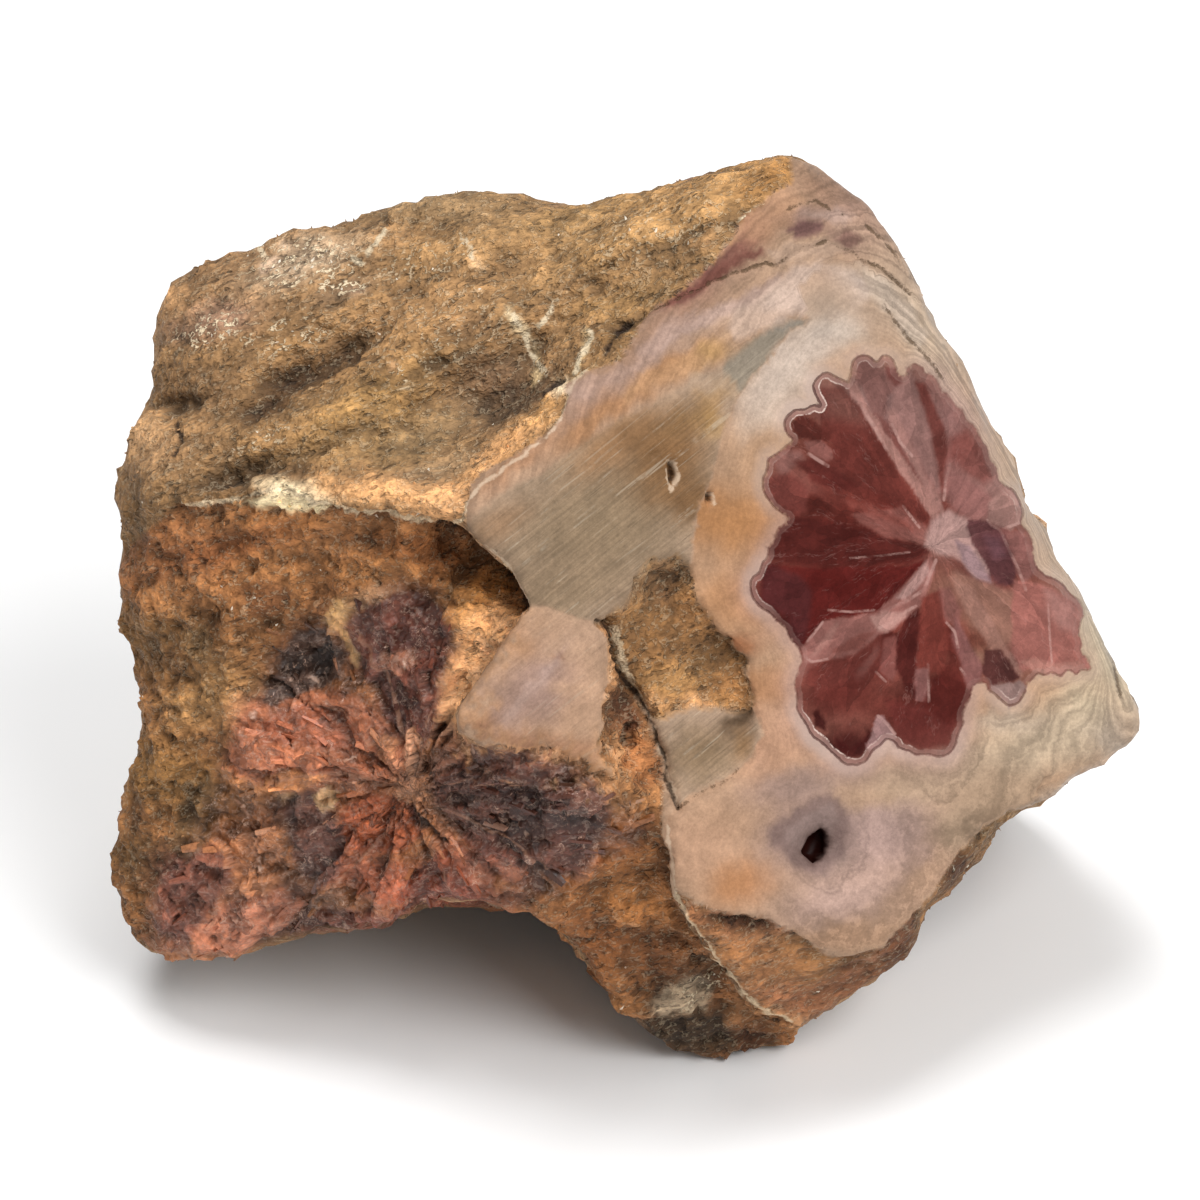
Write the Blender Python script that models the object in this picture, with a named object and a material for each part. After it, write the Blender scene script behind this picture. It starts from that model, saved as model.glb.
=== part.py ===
"""A rhodochrosite specimen: one hand-sized chunk of vein rock, sawn flat across its stalactites on one side.

The chunk is described as it stands on display. Places on its visible side are (across, up) in millimetres in
the display plane, which stands through TARGET, square to the line from EYE to TARGET. Depth runs away from EYE.
The stone starts as a ball, and each point of it moves in or out from the heart until it meets the rock's surface.
"""

import math

import bpy
import numpy as np
from mathutils import Vector, noise

MM = 0.001

# Driving dimensions, in millimetres and degrees.
DISPLAY_TILT = 35.0
DISPLAY_REACH = 480.0
TARGET = np.array([0.0, 0.0, 33.0])
HEART = np.array([0.0, -5.0, 38.0])
BALL_DIVISIONS = 7
KEPT_TRIANGLES = 8600

# The outline of the whole stone in the display plane, clockwise from the crown.
OUTLINE = [
    (19.0, 45.0), (22.2, 43.2), (26.5, 39.3), (30.8, 34.3), (35.4, 25.7), (45.5, 6.4), (53.0, -8.8),
    (54.1, -12.5), (53.2, -14.5), (51.0, -14.8), (50.4, -16.5), (47.5, -17.2), (45.2, -19.8), (41.0, -21.2),
    (38.5, -24.5), (35.0, -28.5), (32.5, -30.5), (31.8, -34.5), (29.5, -37.5), (24.0, -40.7), (20.8, -42.2),
    (19.8, -44.8), (17.0, -46.6), (11.5, -46.2), (6.5, -44.8), (2.5, -41.2), (-1.0, -37.0), (-3.8, -33.0),
    (-7.0, -31.0), (-12.0, -30.3), (-17.5, -30.5), (-21.5, -32.2), (-31.0, -33.8), (-36.0, -35.3),
    (-41.5, -35.9), (-46.0, -35.1), (-48.0, -32.5), (-50.1, -26.5), (-48.7, -21.7), (-45.9, -13.2),
    (-46.4, -6.0), (-48.2, -1.5), (-48.9, 3.4), (-48.4, 10.3), (-47.4, 17.2), (-45.9, 20.8), (-45.7, 25.0),
    (-46.6, 29.1), (-45.2, 32.9), (-43.0, 35.7), (-34.5, 38.6), (-31.4, 40.2), (-20.6, 42.2), (-10.3, 41.4),
    (-6.5, 39.9), (-2.8, 39.2), (1.4, 40.5), (7.4, 42.1),
]
# The broken area, down the left and under the sawn face, which stands back from it like a quarried bench.
BROKEN_AREA = [
    (-60.0, 4.0), (-48.0, 5.5), (-42.0, 9.6), (-36.0, 9.9), (-31.0, 10.0), (-24.0, 8.9), (-16.0, 7.6), (-13.6, 7.4),
    (-13.2, 6.6), (-11.2, 5.0), (-9.0, 3.0), (-7.5, 0.4), (-7.2, -0.6), (-9.5, -3.5), (-10.8, -6.2), (-12.4, -7.9),
    (-13.4, -9.3), (-14.6, -11.3), (-14.4, -13.0), (-12.9, -13.7), (-11.9, -14.7), (-10.0, -15.0), (-7.8, -14.4),
    (-4.4, -14.9), (-2.4, -15.4), (-1.0, -16.6), (0.2, -16.1), (0.0, -14.4), (0.8, -13.0), (0.0, -9.8),
    (0.7, -6.9), (0.9, -4.7), (0.1, -2.3), (1.7, -2.6), (2.2, -5.7), (3.0, -9.1), (4.3, -11.7), (5.2, -13.0),
    (6.1, -15.4), (6.4, -17.2), (6.9, -19.5), (6.5, -22.5), (6.6, -26.6), (7.3, -30.1), (9.2, -33.0),
    (11.8, -36.5), (14.3, -39.7), (16.2, -41.3), (18.8, -42.1), (20.4, -43.4), (20.0, -60.0), (-60.0, -60.0),
]

# Flat faces of the chunk: a display place, the depth there, and which way the face looks, as an azimuth from
# straight out to the front (positive to the right) and an elevation above the level.
SAWN = ((-13.5, 8.5), -42.6, 28.0, 28.0)
MATRIX = ((-13.5, 8.5), -42.6, -44.2, 62.9)
FAN = ((-19.0, -19.0), -26.4, -22.0, 14.0)
WALL = ((14.0, -46.4), -7.5, 8.0, -5.0)
CRUST = ((20.0, -33.0), -25.0, 16.0, -14.0)


def direction(azimuth, elevation):
    """The unit vector that looks that way."""
    turn, rise = math.radians(azimuth), math.radians(elevation)
    return np.array([math.sin(turn) * math.cos(rise), -math.cos(turn) * math.cos(rise), math.sin(rise)])


RIGHT = np.array([1.0, 0.0, 0.0])
INTO = -direction(0.0, DISPLAY_TILT)
UP = np.cross(RIGHT, INTO)
EYE = TARGET - DISPLAY_REACH * INTO


def from_display(place, depth):
    """The point at a display place and a depth behind the display plane."""
    ray = DISPLAY_REACH * INTO + place[0] * RIGHT + place[1] * UP
    return EYE + ray * (DISPLAY_REACH + depth) / DISPLAY_REACH


def to_display(points):
    """Across, up and depth of points in the display plane's terms."""
    seen = points - EYE
    reach = seen @ INTO
    return DISPLAY_REACH * (seen @ RIGHT) / reach, DISPLAY_REACH * (seen @ UP) / reach, reach - DISPLAY_REACH


# Sides of the chunk behind its outline, clockwise: two display places with their depths, which the side runs
# through, and how many degrees it leans in towards the back.
SIDES = [
    ((-43.0, 38.4), -4.0, (19.0, 47.2), -14.0, 34.0),
    ((22.0, 45.6), -18.0, (54.6, -10.0), -1.0, 27.0),
    ((54.0, -16.0), -1.0, (34.0, -32.5), -4.0, 5.0),
    ((-50.4, -30.0), -6.0, (-48.6, 3.0), -10.0, 20.0),
    ((-49.0, 3.0), -8.0, (-45.8, 33.0), -8.0, 24.0),
]
# Faces at the back: a point in millimetres, and the azimuth and elevation that the face looks to.
BACKS = [
    ((-20.0, 14.0, 70.0), -172.0, 20.0),
    ((37.0, 15.0, 30.0), 128.0, 8.0),
    ((-41.0, 19.0, 52.0), -132.0, 2.0),
    ((14.0, 24.0, 14.0), 166.0, -24.0),
]
# The underside stands on three feet: each a centre and a radius on the floor. It is arched between them.
FEET = [((14.0, -24.0), 9.0), ((-25.0, 13.0), 12.0), ((29.0, 15.0), 10.0)]
ARCH_SLOPE = 0.42
ARCH_RISE = 7.0
FOOT_FLAT = 0.35

# Dents in the matrix: a display place, the heading of the long way, half length, half width and depth.
DENTS = [
    ((-11.5, 20.5), 28.0, 10.0, 5.0, 3.0),
    ((-30.0, 23.0), 24.0, 7.0, 2.4, 1.9),
    ((-24.0, 26.5), 20.0, 6.0, 2.0, 1.2),
    ((-36.5, 12.6), 18.0, 7.0, 2.2, 1.8),
    ((-43.5, 18.0), 10.0, 5.0, 2.2, 1.4),
    ((-19.0, 33.0), 12.0, 9.0, 2.2, 0.9),
    ((-4.0, 33.0), 70.0, 8.0, 4.0, 1.6),
    ((8.0, 32.0), 30.0, 10.0, 2.5, 0.8),
]
# The cavity between the two sawn stalactites: its outline in the display plane and its depth.
CAVITY = [
    (0.4, -2.0), (2.4, -2.4), (4.4, -8.8), (6.0, -13.2), (7.0, -19.0), (3.6, -18.6), (1.0, -15.6), (0.0, -8.0),
]
CAVITY_DEPTH = 5.0
# The unsawn patch of the grey filling, which broke away a little under the saw cut.
UNSAWN_PATCH = [
    (0.2, -2.6), (2.2, -1.2), (3.5, 1.1), (4.6, 3.5), (7.5, 4.3), (8.8, 2.7), (9.4, 0.9), (10.3, -1.2),
    (12.7, -4.1), (14.8, -5.7), (15.0, -8.3), (15.3, -10.9), (16.3, -13.5), (15.3, -15.4), (14.0, -16.7),
    (12.2, -18.2), (9.5, -19.3), (7.7, -20.7), (5.0, -22.0), (3.5, -14.0), (1.0, -9.0), (0.0, -5.0),
]
UNSAWN_DEPTH = 1.5
# The crust under the lower stalactite, where the saw cut ends: it stands back and falls away.
CRUST_AREA = [
    (6.0, -26.0), (7.0, -28.6), (9.5, -30.4), (12.1, -30.9), (14.0, -31.7), (16.6, -32.0), (18.8, -33.0),
    (20.4, -34.0), (22.7, -35.5), (25.2, -35.7), (27.2, -35.2), (28.4, -34.6), (31.0, -32.0), (33.2, -29.4),
    (34.5, -26.9), (36.1, -25.0), (39.0, -24.0), (41.6, -21.0), (46.0, -19.2), (48.6, -16.9), (60.0, -15.6),
    (60.0, -60.0), (6.0, -60.0),
]
# The hanging crevice under the left corner of the sawn face, and the pocket in the fan above its centre.
CREVICE = ((-12.6, 3.4), -38.0, 5.0, 2.2, 4.5)
POCKET = ((-29.4, -6.6), 8.0, 4.6, 3.2, 2.4)
# The swell of dark crystals that comes up to the lower edge of the smaller sawn stalactite.
SWELL = ((-7.0, -18.5), -25.0, 10.0, 6.0, -3.6)

# The small open hole in the lower stalactite.
VUG = ((21.5, -24.6), 62.0, 2.1, 1.4, 3.6)

# The crystal fan: its heart, and the ribs that run out from it.
FAN_HEART = (-19.0, -19.2)
FAN_RIBS = 11
RIB_RISE = 0.9
FAN_REACH = 24.0

# Beds of the vein, which show as ledges wherever the stone wasn't sawn.
BEDDING = np.array([-0.35, 0.25, 0.90]) / np.linalg.norm([-0.35, 0.25, 0.90])
BED_THICKNESS = 6.5
LEDGE_DEPTH = 1.5
LUMP_SIZE = 13.0
LUMP_RISE = 1.5
GRIT_SIZE = 4.2
GRIT_RISE = 0.55


def smooth_max(one, other, blend):
    """The larger of two distances, with the corner between them rounded over about blend."""
    near = np.maximum(blend - np.abs(one - other), 0.0) / blend
    return np.maximum(one, other) + near * near * blend / 4


def ramp(value, low, high):
    """0 below low, 1 above high, and smooth between."""
    share = np.clip((value - low) / (high - low), 0.0, 1.0)
    return share * share * (3 - 2 * share)


def outline_distance(across, up, outline):
    """Distance to a closed outline in the display plane, negative inside it."""
    nearest = np.full(across.shape, np.inf)
    inside = np.zeros(across.shape, bool)
    for (x0, y0), (x1, y1) in zip(outline, outline[1:] + outline[:1]):
        run, rise = x1 - x0, y1 - y0
        share = ((across - x0) * run + (up - y0) * rise) / (run * run + rise * rise)
        share = np.clip(share, 0.0, 1.0)
        nearest = np.minimum(nearest, np.hypot(across - x0 - share * run, up - y0 - share * rise))
        if rise:
            inside ^= ((y0 > up) != (y1 > up)) & (across < x0 + (up - y0) * run / rise)
    return np.where(inside, -nearest, nearest)


def flat_distance(points, face):
    """Distance in front of one of the flat faces of the visible side."""
    place, depth, azimuth, elevation = face
    return (points - from_display(place, depth)) @ direction(azimuth, elevation)


def side_distance(points, side):
    """Distance outside one of the leaning sides."""
    place, depth, next_place, next_depth, lean = side
    start, end = from_display(place, depth), from_display(next_place, next_depth)
    along = (end - start) / np.linalg.norm(end - start)
    outward = np.cross(along, INTO)
    outward /= np.linalg.norm(outward)
    backward = np.cross(outward, along)
    backward *= np.sign(backward @ INTO)
    turn = math.radians(lean)
    return (points - start) @ (math.cos(turn) * outward + math.sin(turn) * backward)


def dent(across, up, place, heading, half_length, half_width, depth):
    """How deep a smooth oval dent is at each display place."""
    turn = math.radians(heading)
    x, y = across - place[0], up - place[1]
    along = (x * math.cos(turn) + y * math.sin(turn)) / half_length
    over = (y * math.cos(turn) - x * math.sin(turn)) / half_width
    return depth * np.exp(-(along * along + over * over))


def fan_ribs(across, up):
    """How far the fan's radiating crystals stand proud."""
    x, y = across - FAN_HEART[0], up - FAN_HEART[1]
    reach, heading = np.hypot(x, y), np.arctan2(y, x)
    ribs = np.abs(np.sin(FAN_RIBS / 2 * heading + 0.9 * np.sin(3 * heading + 1.0)))
    return RIB_RISE * (1 - ribs) * ramp(reach, 1.0, 8.0) * (1 - ramp(reach, FAN_REACH * 0.75, FAN_REACH))


def ledges(points):
    """How far the edges of the beds are worn back from the surface: slanting steps, which come and go."""
    x, y, z = points.T
    waver = 2.2 * np.sin(x / 9.0 + z / 23.0) + 1.7 * np.sin(y / 7.0 + x / 17.0) + 1.2 * np.sin(z / 5.0 - y / 11.0)
    step = np.mod((points @ BEDDING + waver) / BED_THICKNESS, 1.0)
    kept = ramp(np.sin(x / 11.0 + 2.0) + np.sin(y / 8.0 + z / 14.0) + np.sin(z / 9.0 + x / 15.0), -0.9, 1.6)
    return LEDGE_DEPTH * kept * np.minimum(step / 0.78, (1 - step) / 0.22)


def under_side(points):
    """Distance under the arched underside, which is flat on the feet."""
    away = [np.hypot(points[:, 0] - x, points[:, 1] - y) - radius for (x, y), radius in FEET]
    rise = np.clip(np.minimum.reduce(away) * ARCH_SLOPE, 0.0, ARCH_RISE)
    return rise - points[:, 2]


def visible_side(points, across, up):
    """Distance in front of the visible side: the sawn face and the matrix, and the broken area behind them."""
    sawn = flat_distance(points, SAWN)
    unsawn = -outline_distance(across, up, UNSAWN_PATCH)
    sawn = sawn + UNSAWN_DEPTH * ramp(unsawn, -0.2, 0.8)
    sawn = sawn + dent(across, up, *VUG)
    matrix = flat_distance(points, MATRIX) + ledges(points)
    for place, heading, half_length, half_width, depth in DENTS:
        matrix = matrix + dent(across, up, place, heading, half_length, half_width, depth)
    front = smooth_max(sawn, matrix, 0.8)
    crust = np.minimum(flat_distance(points, CRUST), -outline_distance(across, up, CRUST_AREA))
    front = smooth_max(front, crust, 0.4)
    fan = flat_distance(points, FAN) - fan_ribs(across, up)
    wall = flat_distance(points, WALL)
    broken = smooth_max(fan, wall, 3.0)
    broken = broken + CAVITY_DEPTH * ramp(-outline_distance(across, up, CAVITY), -0.3, 1.2)
    for hollow in (CREVICE, POCKET, SWELL):
        broken = broken + dent(across, up, *hollow)
    bench = np.minimum(broken, -outline_distance(across, up, BROKEN_AREA))
    return smooth_max(front, bench, 0.5)


def rock_distance(points):
    """Distance outside the rock, negative in it."""
    across, up, depth = to_display(points)
    rim = outline_distance(across, up, OUTLINE) * (DISPLAY_REACH + depth) / DISPLAY_REACH
    worn = ledges(points)
    for side in SIDES:
        rim = smooth_max(rim, side_distance(points, side) + worn, 3.0)
    for through, azimuth, elevation in BACKS:
        rim = smooth_max(rim, (points - np.array(through)) @ direction(azimuth, elevation) + worn, 5.0)
    # The rolled edge round the top and the right side is rounder than the broken edge under the right corner.
    roundness = 1.2 + 4.3 * ramp(up, -13.0, -6.0) + 3.0 * ramp(-across, 0.0, 30.0)
    stone = smooth_max(rim, visible_side(points, across, up), roundness)
    return smooth_max(stone, under_side(points), 0.6)


def surface_reach(headings):
    """How far the rock's surface lies from the heart in each direction."""
    near, far = np.full(len(headings), 4.0), np.full(len(headings), 96.0)
    for _ in range(18):
        middle = (near + far) / 2
        outside = rock_distance(HEART + headings * middle[:, None]) > 0
        near, far = np.where(outside, near, middle), np.where(outside, middle, far)
    return (near + far) / 2


def roughness(points):
    """How much each point of the skin is lifted by lumps and grit: none on the saw cut."""
    lifts = []
    for point in points:
        lump = noise.noise(Vector(point / LUMP_SIZE))
        ridge = 0.5 - abs(noise.noise(Vector(point / (0.5 * LUMP_SIZE) + 7.0)))
        grit = noise.noise(Vector(point / GRIT_SIZE + 3.0))
        lifts.append(LUMP_RISE * (0.6 * lump + 0.5 * (ridge - 0.3)) + GRIT_RISE * grit)
    sawn = ramp(-flat_distance(points, SAWN), 0.1, 2.2)
    return np.array(lifts) * sawn


def reach_to_plane(headings, through, normal):
    """How far from the heart each direction meets a plane; very far if it never does."""
    closing = headings @ normal
    return np.where(closing > 1e-6, ((through - HEART) @ normal) / np.maximum(closing, 1e-6), 1e3)


def carve(ball):
    """Moves each vertex of the ball to the rock's surface."""
    headings = np.array([vertex.co.normalized() for vertex in ball.vertices])
    reach = surface_reach(headings)
    reach = reach + roughness(HEART + headings * reach[:, None])
    place, depth, azimuth, elevation = SAWN
    reach = np.minimum(reach, reach_to_plane(headings, from_display(place, depth), direction(azimuth, elevation)))
    reach = np.minimum(reach, reach_to_plane(headings, np.zeros(3), np.array([0.0, 0.0, -1.0])))
    points = (HEART + headings * reach[:, None]) * MM
    ball.vertices.foreach_set("co", points.astype(np.float32).ravel())
    ball.update()


def stone_material():
    """Brown vein rock with a low sheen."""
    material = bpy.data.materials.new("vein_rock")
    material.use_nodes = True
    shader = material.node_tree.nodes["Principled BSDF"]
    shader.inputs["Base Color"].default_value = (0.42, 0.26, 0.17, 1.0)
    shader.inputs["Roughness"].default_value = 0.7
    shader.inputs["Metallic"].default_value = 0.0
    return material


def stand(stone):
    """Thins the mesh out, flattens the feet, and puts the middle of the stone's box over the origin."""
    thin_out = stone.modifiers.new("thin_out", "DECIMATE")
    thin_out.ratio = KEPT_TRIANGLES / len(stone.data.polygons)
    thinned = bpy.data.meshes.new_from_object(stone.evaluated_get(bpy.context.evaluated_depsgraph_get()))
    stone.modifiers.clear()
    stone.data = thinned
    points = np.array([vertex.co for vertex in thinned.vertices])
    points[points[:, 2] < FOOT_FLAT * MM, 2] = 0.0
    middle = (points.min(axis=0) + points.max(axis=0)) / 2
    points -= np.array([middle[0], middle[1], 0.0])
    thinned.vertices.foreach_set("co", points.astype(np.float32).ravel())
    thinned.update()
    print("The display plane's TARGET moved by", -middle[0] / MM, -middle[1] / MM)


for leftover in list(bpy.data.objects):
    bpy.data.objects.remove(leftover)
bpy.ops.mesh.primitive_ico_sphere_add(subdivisions=BALL_DIVISIONS, radius=1.0)
specimen = bpy.context.object
specimen.name = "specimen"
carve(specimen.data)
stand(specimen)
specimen.data.materials.append(stone_material())
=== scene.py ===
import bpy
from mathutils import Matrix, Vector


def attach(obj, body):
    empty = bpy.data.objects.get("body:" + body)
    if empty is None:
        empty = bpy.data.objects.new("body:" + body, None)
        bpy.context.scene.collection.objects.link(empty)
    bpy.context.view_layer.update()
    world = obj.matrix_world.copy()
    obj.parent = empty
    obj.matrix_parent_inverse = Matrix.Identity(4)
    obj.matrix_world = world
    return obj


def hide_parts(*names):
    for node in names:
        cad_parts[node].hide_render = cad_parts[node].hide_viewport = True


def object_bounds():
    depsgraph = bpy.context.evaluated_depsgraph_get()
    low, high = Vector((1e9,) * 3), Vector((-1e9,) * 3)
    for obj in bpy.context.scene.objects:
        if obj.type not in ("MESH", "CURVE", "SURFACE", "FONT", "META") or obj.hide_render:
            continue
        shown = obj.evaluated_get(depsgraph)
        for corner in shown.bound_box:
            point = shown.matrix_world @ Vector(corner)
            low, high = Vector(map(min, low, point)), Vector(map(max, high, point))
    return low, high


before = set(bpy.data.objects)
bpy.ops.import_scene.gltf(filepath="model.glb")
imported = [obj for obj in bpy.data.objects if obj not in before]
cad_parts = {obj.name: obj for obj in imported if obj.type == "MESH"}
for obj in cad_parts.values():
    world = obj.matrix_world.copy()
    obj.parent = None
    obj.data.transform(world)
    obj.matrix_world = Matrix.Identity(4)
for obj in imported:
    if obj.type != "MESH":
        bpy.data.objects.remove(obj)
solid_box = [list(corner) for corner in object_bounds()]

import math

import bmesh
import bpy
import numpy as np
from mathutils import Vector, noise

# --- The display -------------------------------------------------------------------------------------------
# How the stone stands on show: the eye looks down on it from the front, and every mark on its visible side
# is given as (across, down) in a frame 1200 wide and 1200 high that fills 120 mm at the middle of the stone.
MM = 0.001
FRAME_WIDTH = 1200.0
FRAME_PER_MM = 10.0
FRAME_MIDDLE = FRAME_WIDTH / 2
FRAME_REACH = FRAME_WIDTH / FRAME_PER_MM * MM
EYE_TILT = math.radians(35.0)
EYE_DISTANCE = 480.0 * MM
MIDDLE = np.array([-2.504, 4.726, 33.0]) * MM

looking = np.array([0.0, math.cos(EYE_TILT), -math.sin(EYE_TILT)])
screen_up = np.array([0.0, math.sin(EYE_TILT), math.cos(EYE_TILT)])
eye = MIDDLE - EYE_DISTANCE * looking


def seen_at(points):
    """Where points show in the frame (across, down), and how deep they lie behind its middle, in mm."""
    away = points - eye
    reach = away @ looking
    scale = EYE_DISTANCE / reach * FRAME_WIDTH / FRAME_REACH
    across = FRAME_MIDDLE + points @ np.array([1.0, 0.0, 0.0]) * scale - MIDDLE[0] * scale
    down = FRAME_MIDDLE - (away @ screen_up) * scale
    return across, down, (reach - EYE_DISTANCE) / MM


# --- The stone ---------------------------------------------------------------------------------------------
# One hand-sized chunk of vein rock, all grown together. Its skin is taken from the solid, divided finely, and
# roughened wherever the saw didn't cut it. Where each kind of rock lies is kept on the mesh as attributes.
SKIN_GRAIN = 1.17 * MM
FINEST_EDGE = 0.30 * MM
LINE_REACH = 0.5
FACING_EYE = -0.12
DEEPEST, HIGHEST = -1.9, 1.0
SHARP_HOLLOW = 6
LEDGE_DEPTH = 0.5
LAYERS_ACROSS = 11.0
FLOWER_EDGE_WIDTH = 2.2
FAN_HEART = (411.0, 790.0)
FAR = 9.0
BED_RUN, BED_RISE = 0.927, 0.375
RIGHT_EDGE_LEAN = 0.62
SAW_CUT_TURN = math.radians(28)
SAW_CUT_NORMAL = np.array([
    math.sin(SAW_CUT_TURN) * math.cos(SAW_CUT_TURN), -math.cos(SAW_CUT_TURN) * math.cos(SAW_CUT_TURN),
    math.sin(SAW_CUT_TURN),
])

# Shades are given as they look on show, where this much light falls on them. No stone is paler than PALEST.
SHOW_LIGHT = 1.25
PALEST = 0.90

# Outlines on the visible side, each a closed ring of places in the frame.
FLOWER = [
    (850, 384), (851, 364), (856, 357), (862, 355), (870, 355), (874, 362), (878, 362), (881, 356),
    (887, 355), (893, 360), (896, 367), (897, 374), (904, 378), (908, 368), (914, 363), (922, 366),
    (926, 374), (931, 373), (937, 381), (941, 391), (949, 394), (954, 404), (962, 409), (967, 421),
    (976, 426), (981, 440), (987, 447), (989, 459), (996, 466), (998, 480), (1006, 487), (1014, 491),
    (1019, 500), (1023, 512), (1021, 523), (1027, 530), (1033, 543), (1033, 556), (1036, 568), (1044, 574),
    (1055, 578), (1065, 585), (1070, 594), (1079, 601), (1085, 613), (1080, 622), (1078, 634), (1082, 644),
    (1080, 652), (1088, 660), (1091, 671), (1080, 669), (1076, 676), (1068, 669), (1061, 678), (1052, 672),
    (1045, 676), (1038, 673), (1032, 680), (1027, 684), (1025, 694), (1018, 703), (1009, 706), (1001, 700),
    (995, 693), (988, 690), (985, 682), (973, 685), (970, 697), (966, 706), (962, 715), (963, 727),
    (958, 736), (955, 747), (947, 756), (938, 757), (926, 755), (916, 756), (909, 752), (899, 749),
    (895, 742), (886, 738), (881, 746), (872, 752), (866, 762), (856, 765), (846, 764), (838, 757),
    (829, 751), (822, 741), (812, 735), (805, 722), (797, 711), (798, 698), (794, 684), (797, 672),
    (803, 660), (798, 646), (790, 638), (786, 628), (777, 622), (771, 613), (761, 607), (753, 598),
    (751, 586), (752, 578), (760, 573), (762, 563), (768, 558), (769, 546), (775, 541), (777, 530),
    (786, 524), (789, 517), (779, 512), (770, 502), (764, 492), (763, 480), (767, 470), (768, 459),
    (776, 454), (784, 449), (794, 440), (787, 434), (784, 424), (787, 416), (796, 410), (806, 411),
    (813, 406), (822, 408), (818, 397), (814, 389), (815, 380), (821, 374), (829, 373), (836, 378),
    (843, 380),
]
STALACTITE = [
    (808, 323), (789, 332), (774, 357), (750, 376), (737, 402), (724, 428), (719, 454), (709, 488),
    (697, 512), (693, 545), (690, 573), (695, 592), (704, 612), (727, 641), (748, 657), (750, 683),
    (753, 709), (764, 735), (753, 754), (740, 767), (722, 782), (695, 793), (677, 807), (663, 824),
    (664, 860), (670, 888), (720, 910), (760, 918), (805, 940), (852, 957), (884, 946), (932, 894),
    (961, 850), (1020, 808), (1200, 700), (1200, 500), (1060, 500), (960, 330), (905, 290), (860, 262),
    (828, 262), (800, 285),
]
GREY_BLOCK = [
    (464, 524), (489, 501), (515, 483), (541, 475), (562, 456), (583, 441), (604, 430), (622, 415),
    (646, 409), (656, 399), (688, 383), (690, 370), (709, 373), (727, 362), (748, 347), (763, 331),
    (777, 318), (787, 318), (800, 318), (806, 324), (789, 332), (774, 357), (750, 376), (737, 402),
    (724, 428), (719, 454), (709, 488), (697, 512), (693, 545), (690, 573), (695, 592), (704, 612),
    (727, 641), (748, 657), (750, 683), (753, 709), (764, 735), (753, 754), (740, 767), (722, 782),
    (695, 793), (677, 807), (664, 780), (650, 730), (625, 680), (614, 640), (598, 624), (570, 617),
    (545, 606), (528, 606), (524, 594), (508, 568), (488, 550), (468, 536),
]
SMALL_STALACTITE = [
    (520, 614), (532, 608), (548, 607), (562, 611), (576, 616), (588, 620), (598, 626), (606, 634),
    (612, 646), (614, 660), (612, 676), (606, 690), (602, 704), (604, 720), (607, 738), (606, 756),
    (602, 768), (588, 762), (566, 752), (540, 746), (516, 746), (496, 744), (478, 738), (464, 728),
    (460, 712), (466, 696), (476, 682), (482, 668), (492, 652), (502, 636), (510, 622),
]
HOLE_HALO = [(772, 822), (793, 808), (828, 795), (842, 808), (848, 846), (829, 872), (794, 864), (775, 843)]
HOLE = [(801, 852), (809, 837), (822, 828), (829, 840), (824, 856), (813, 863)]
SAW_CUT = [
    (462, 520), (470, 482), (486, 469), (518, 451), (541, 435), (560, 417), (567, 396), (561, 384),
    (574, 379), (591, 370), (622, 360), (628, 344), (648, 310), (672, 297), (696, 279), (712, 262),
    (735, 236), (742, 216), (756, 208), (777, 192), (792, 182), (790, 140), (1200, 140), (1200, 790),
    (1010, 812), (961, 852), (932, 896), (884, 948), (852, 959), (826, 956), (804, 941), (766, 921),
    (740, 918), (720, 911), (695, 905), (668, 890), (660, 830), (664, 780), (650, 730), (625, 680),
    (614, 640), (598, 624), (610, 645), (607, 670), (600, 698), (607, 728), (600, 745), (602, 762),
    (590, 766), (575, 754), (522, 744), (481, 747), (455, 730), (454, 713), (476, 679), (505, 635),
    (528, 606), (508, 568), (488, 550), (464, 530),
]
ROUGH_GREY = [
    (600, 628), (622, 606), (635, 585), (645, 562), (675, 555), (690, 565), (696, 592), (704, 612),
    (727, 641), (748, 657), (750, 683), (753, 709), (748, 718), (700, 708), (660, 722), (625, 690),
    (610, 650),
]
FAN_CRYSTALS = [
    (360, 610), (395, 585), (436, 590), (452, 606), (454, 650), (450, 690), (446, 724), (476, 752),
    (525, 746), (580, 760), (612, 790), (650, 812), (640, 850), (600, 870), (585, 890), (560, 900),
    (500, 905), (440, 905), (380, 925), (300, 945), (250, 965), (190, 975), (160, 950), (150, 900),
    (175, 860), (200, 810), (230, 760), (240, 715), (258, 702), (270, 660), (296, 626), (336, 606),
]
WALL = [
    (545, 905), (600, 872), (640, 850), (655, 815), (664, 790), (670, 830), (668, 890), (692, 930),
    (718, 965), (743, 997), (775, 1018), (800, 1026), (790, 1070), (700, 1090), (560, 960),
]
BROKEN = [
    (-50, 570), (60, 570), (120, 552), (180, 505), (240, 502), (290, 500), (360, 511), (440, 524),
    (464, 526), (468, 536), (488, 550), (508, 568), (528, 606), (505, 635), (476, 679), (454, 713),
    (456, 730), (481, 747), (522, 744), (575, 754), (600, 766), (600, 745), (607, 728), (600, 698),
    (607, 670), (609, 645), (600, 624), (617, 630), (620, 657), (630, 691), (643, 717), (652, 730),
    (661, 754), (664, 772), (669, 795), (664, 824), (666, 866), (673, 901), (692, 930), (718, 965),
    (743, 997), (762, 1013), (788, 1022), (806, 1040), (800, 1300), (-50, 1300),
]
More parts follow.
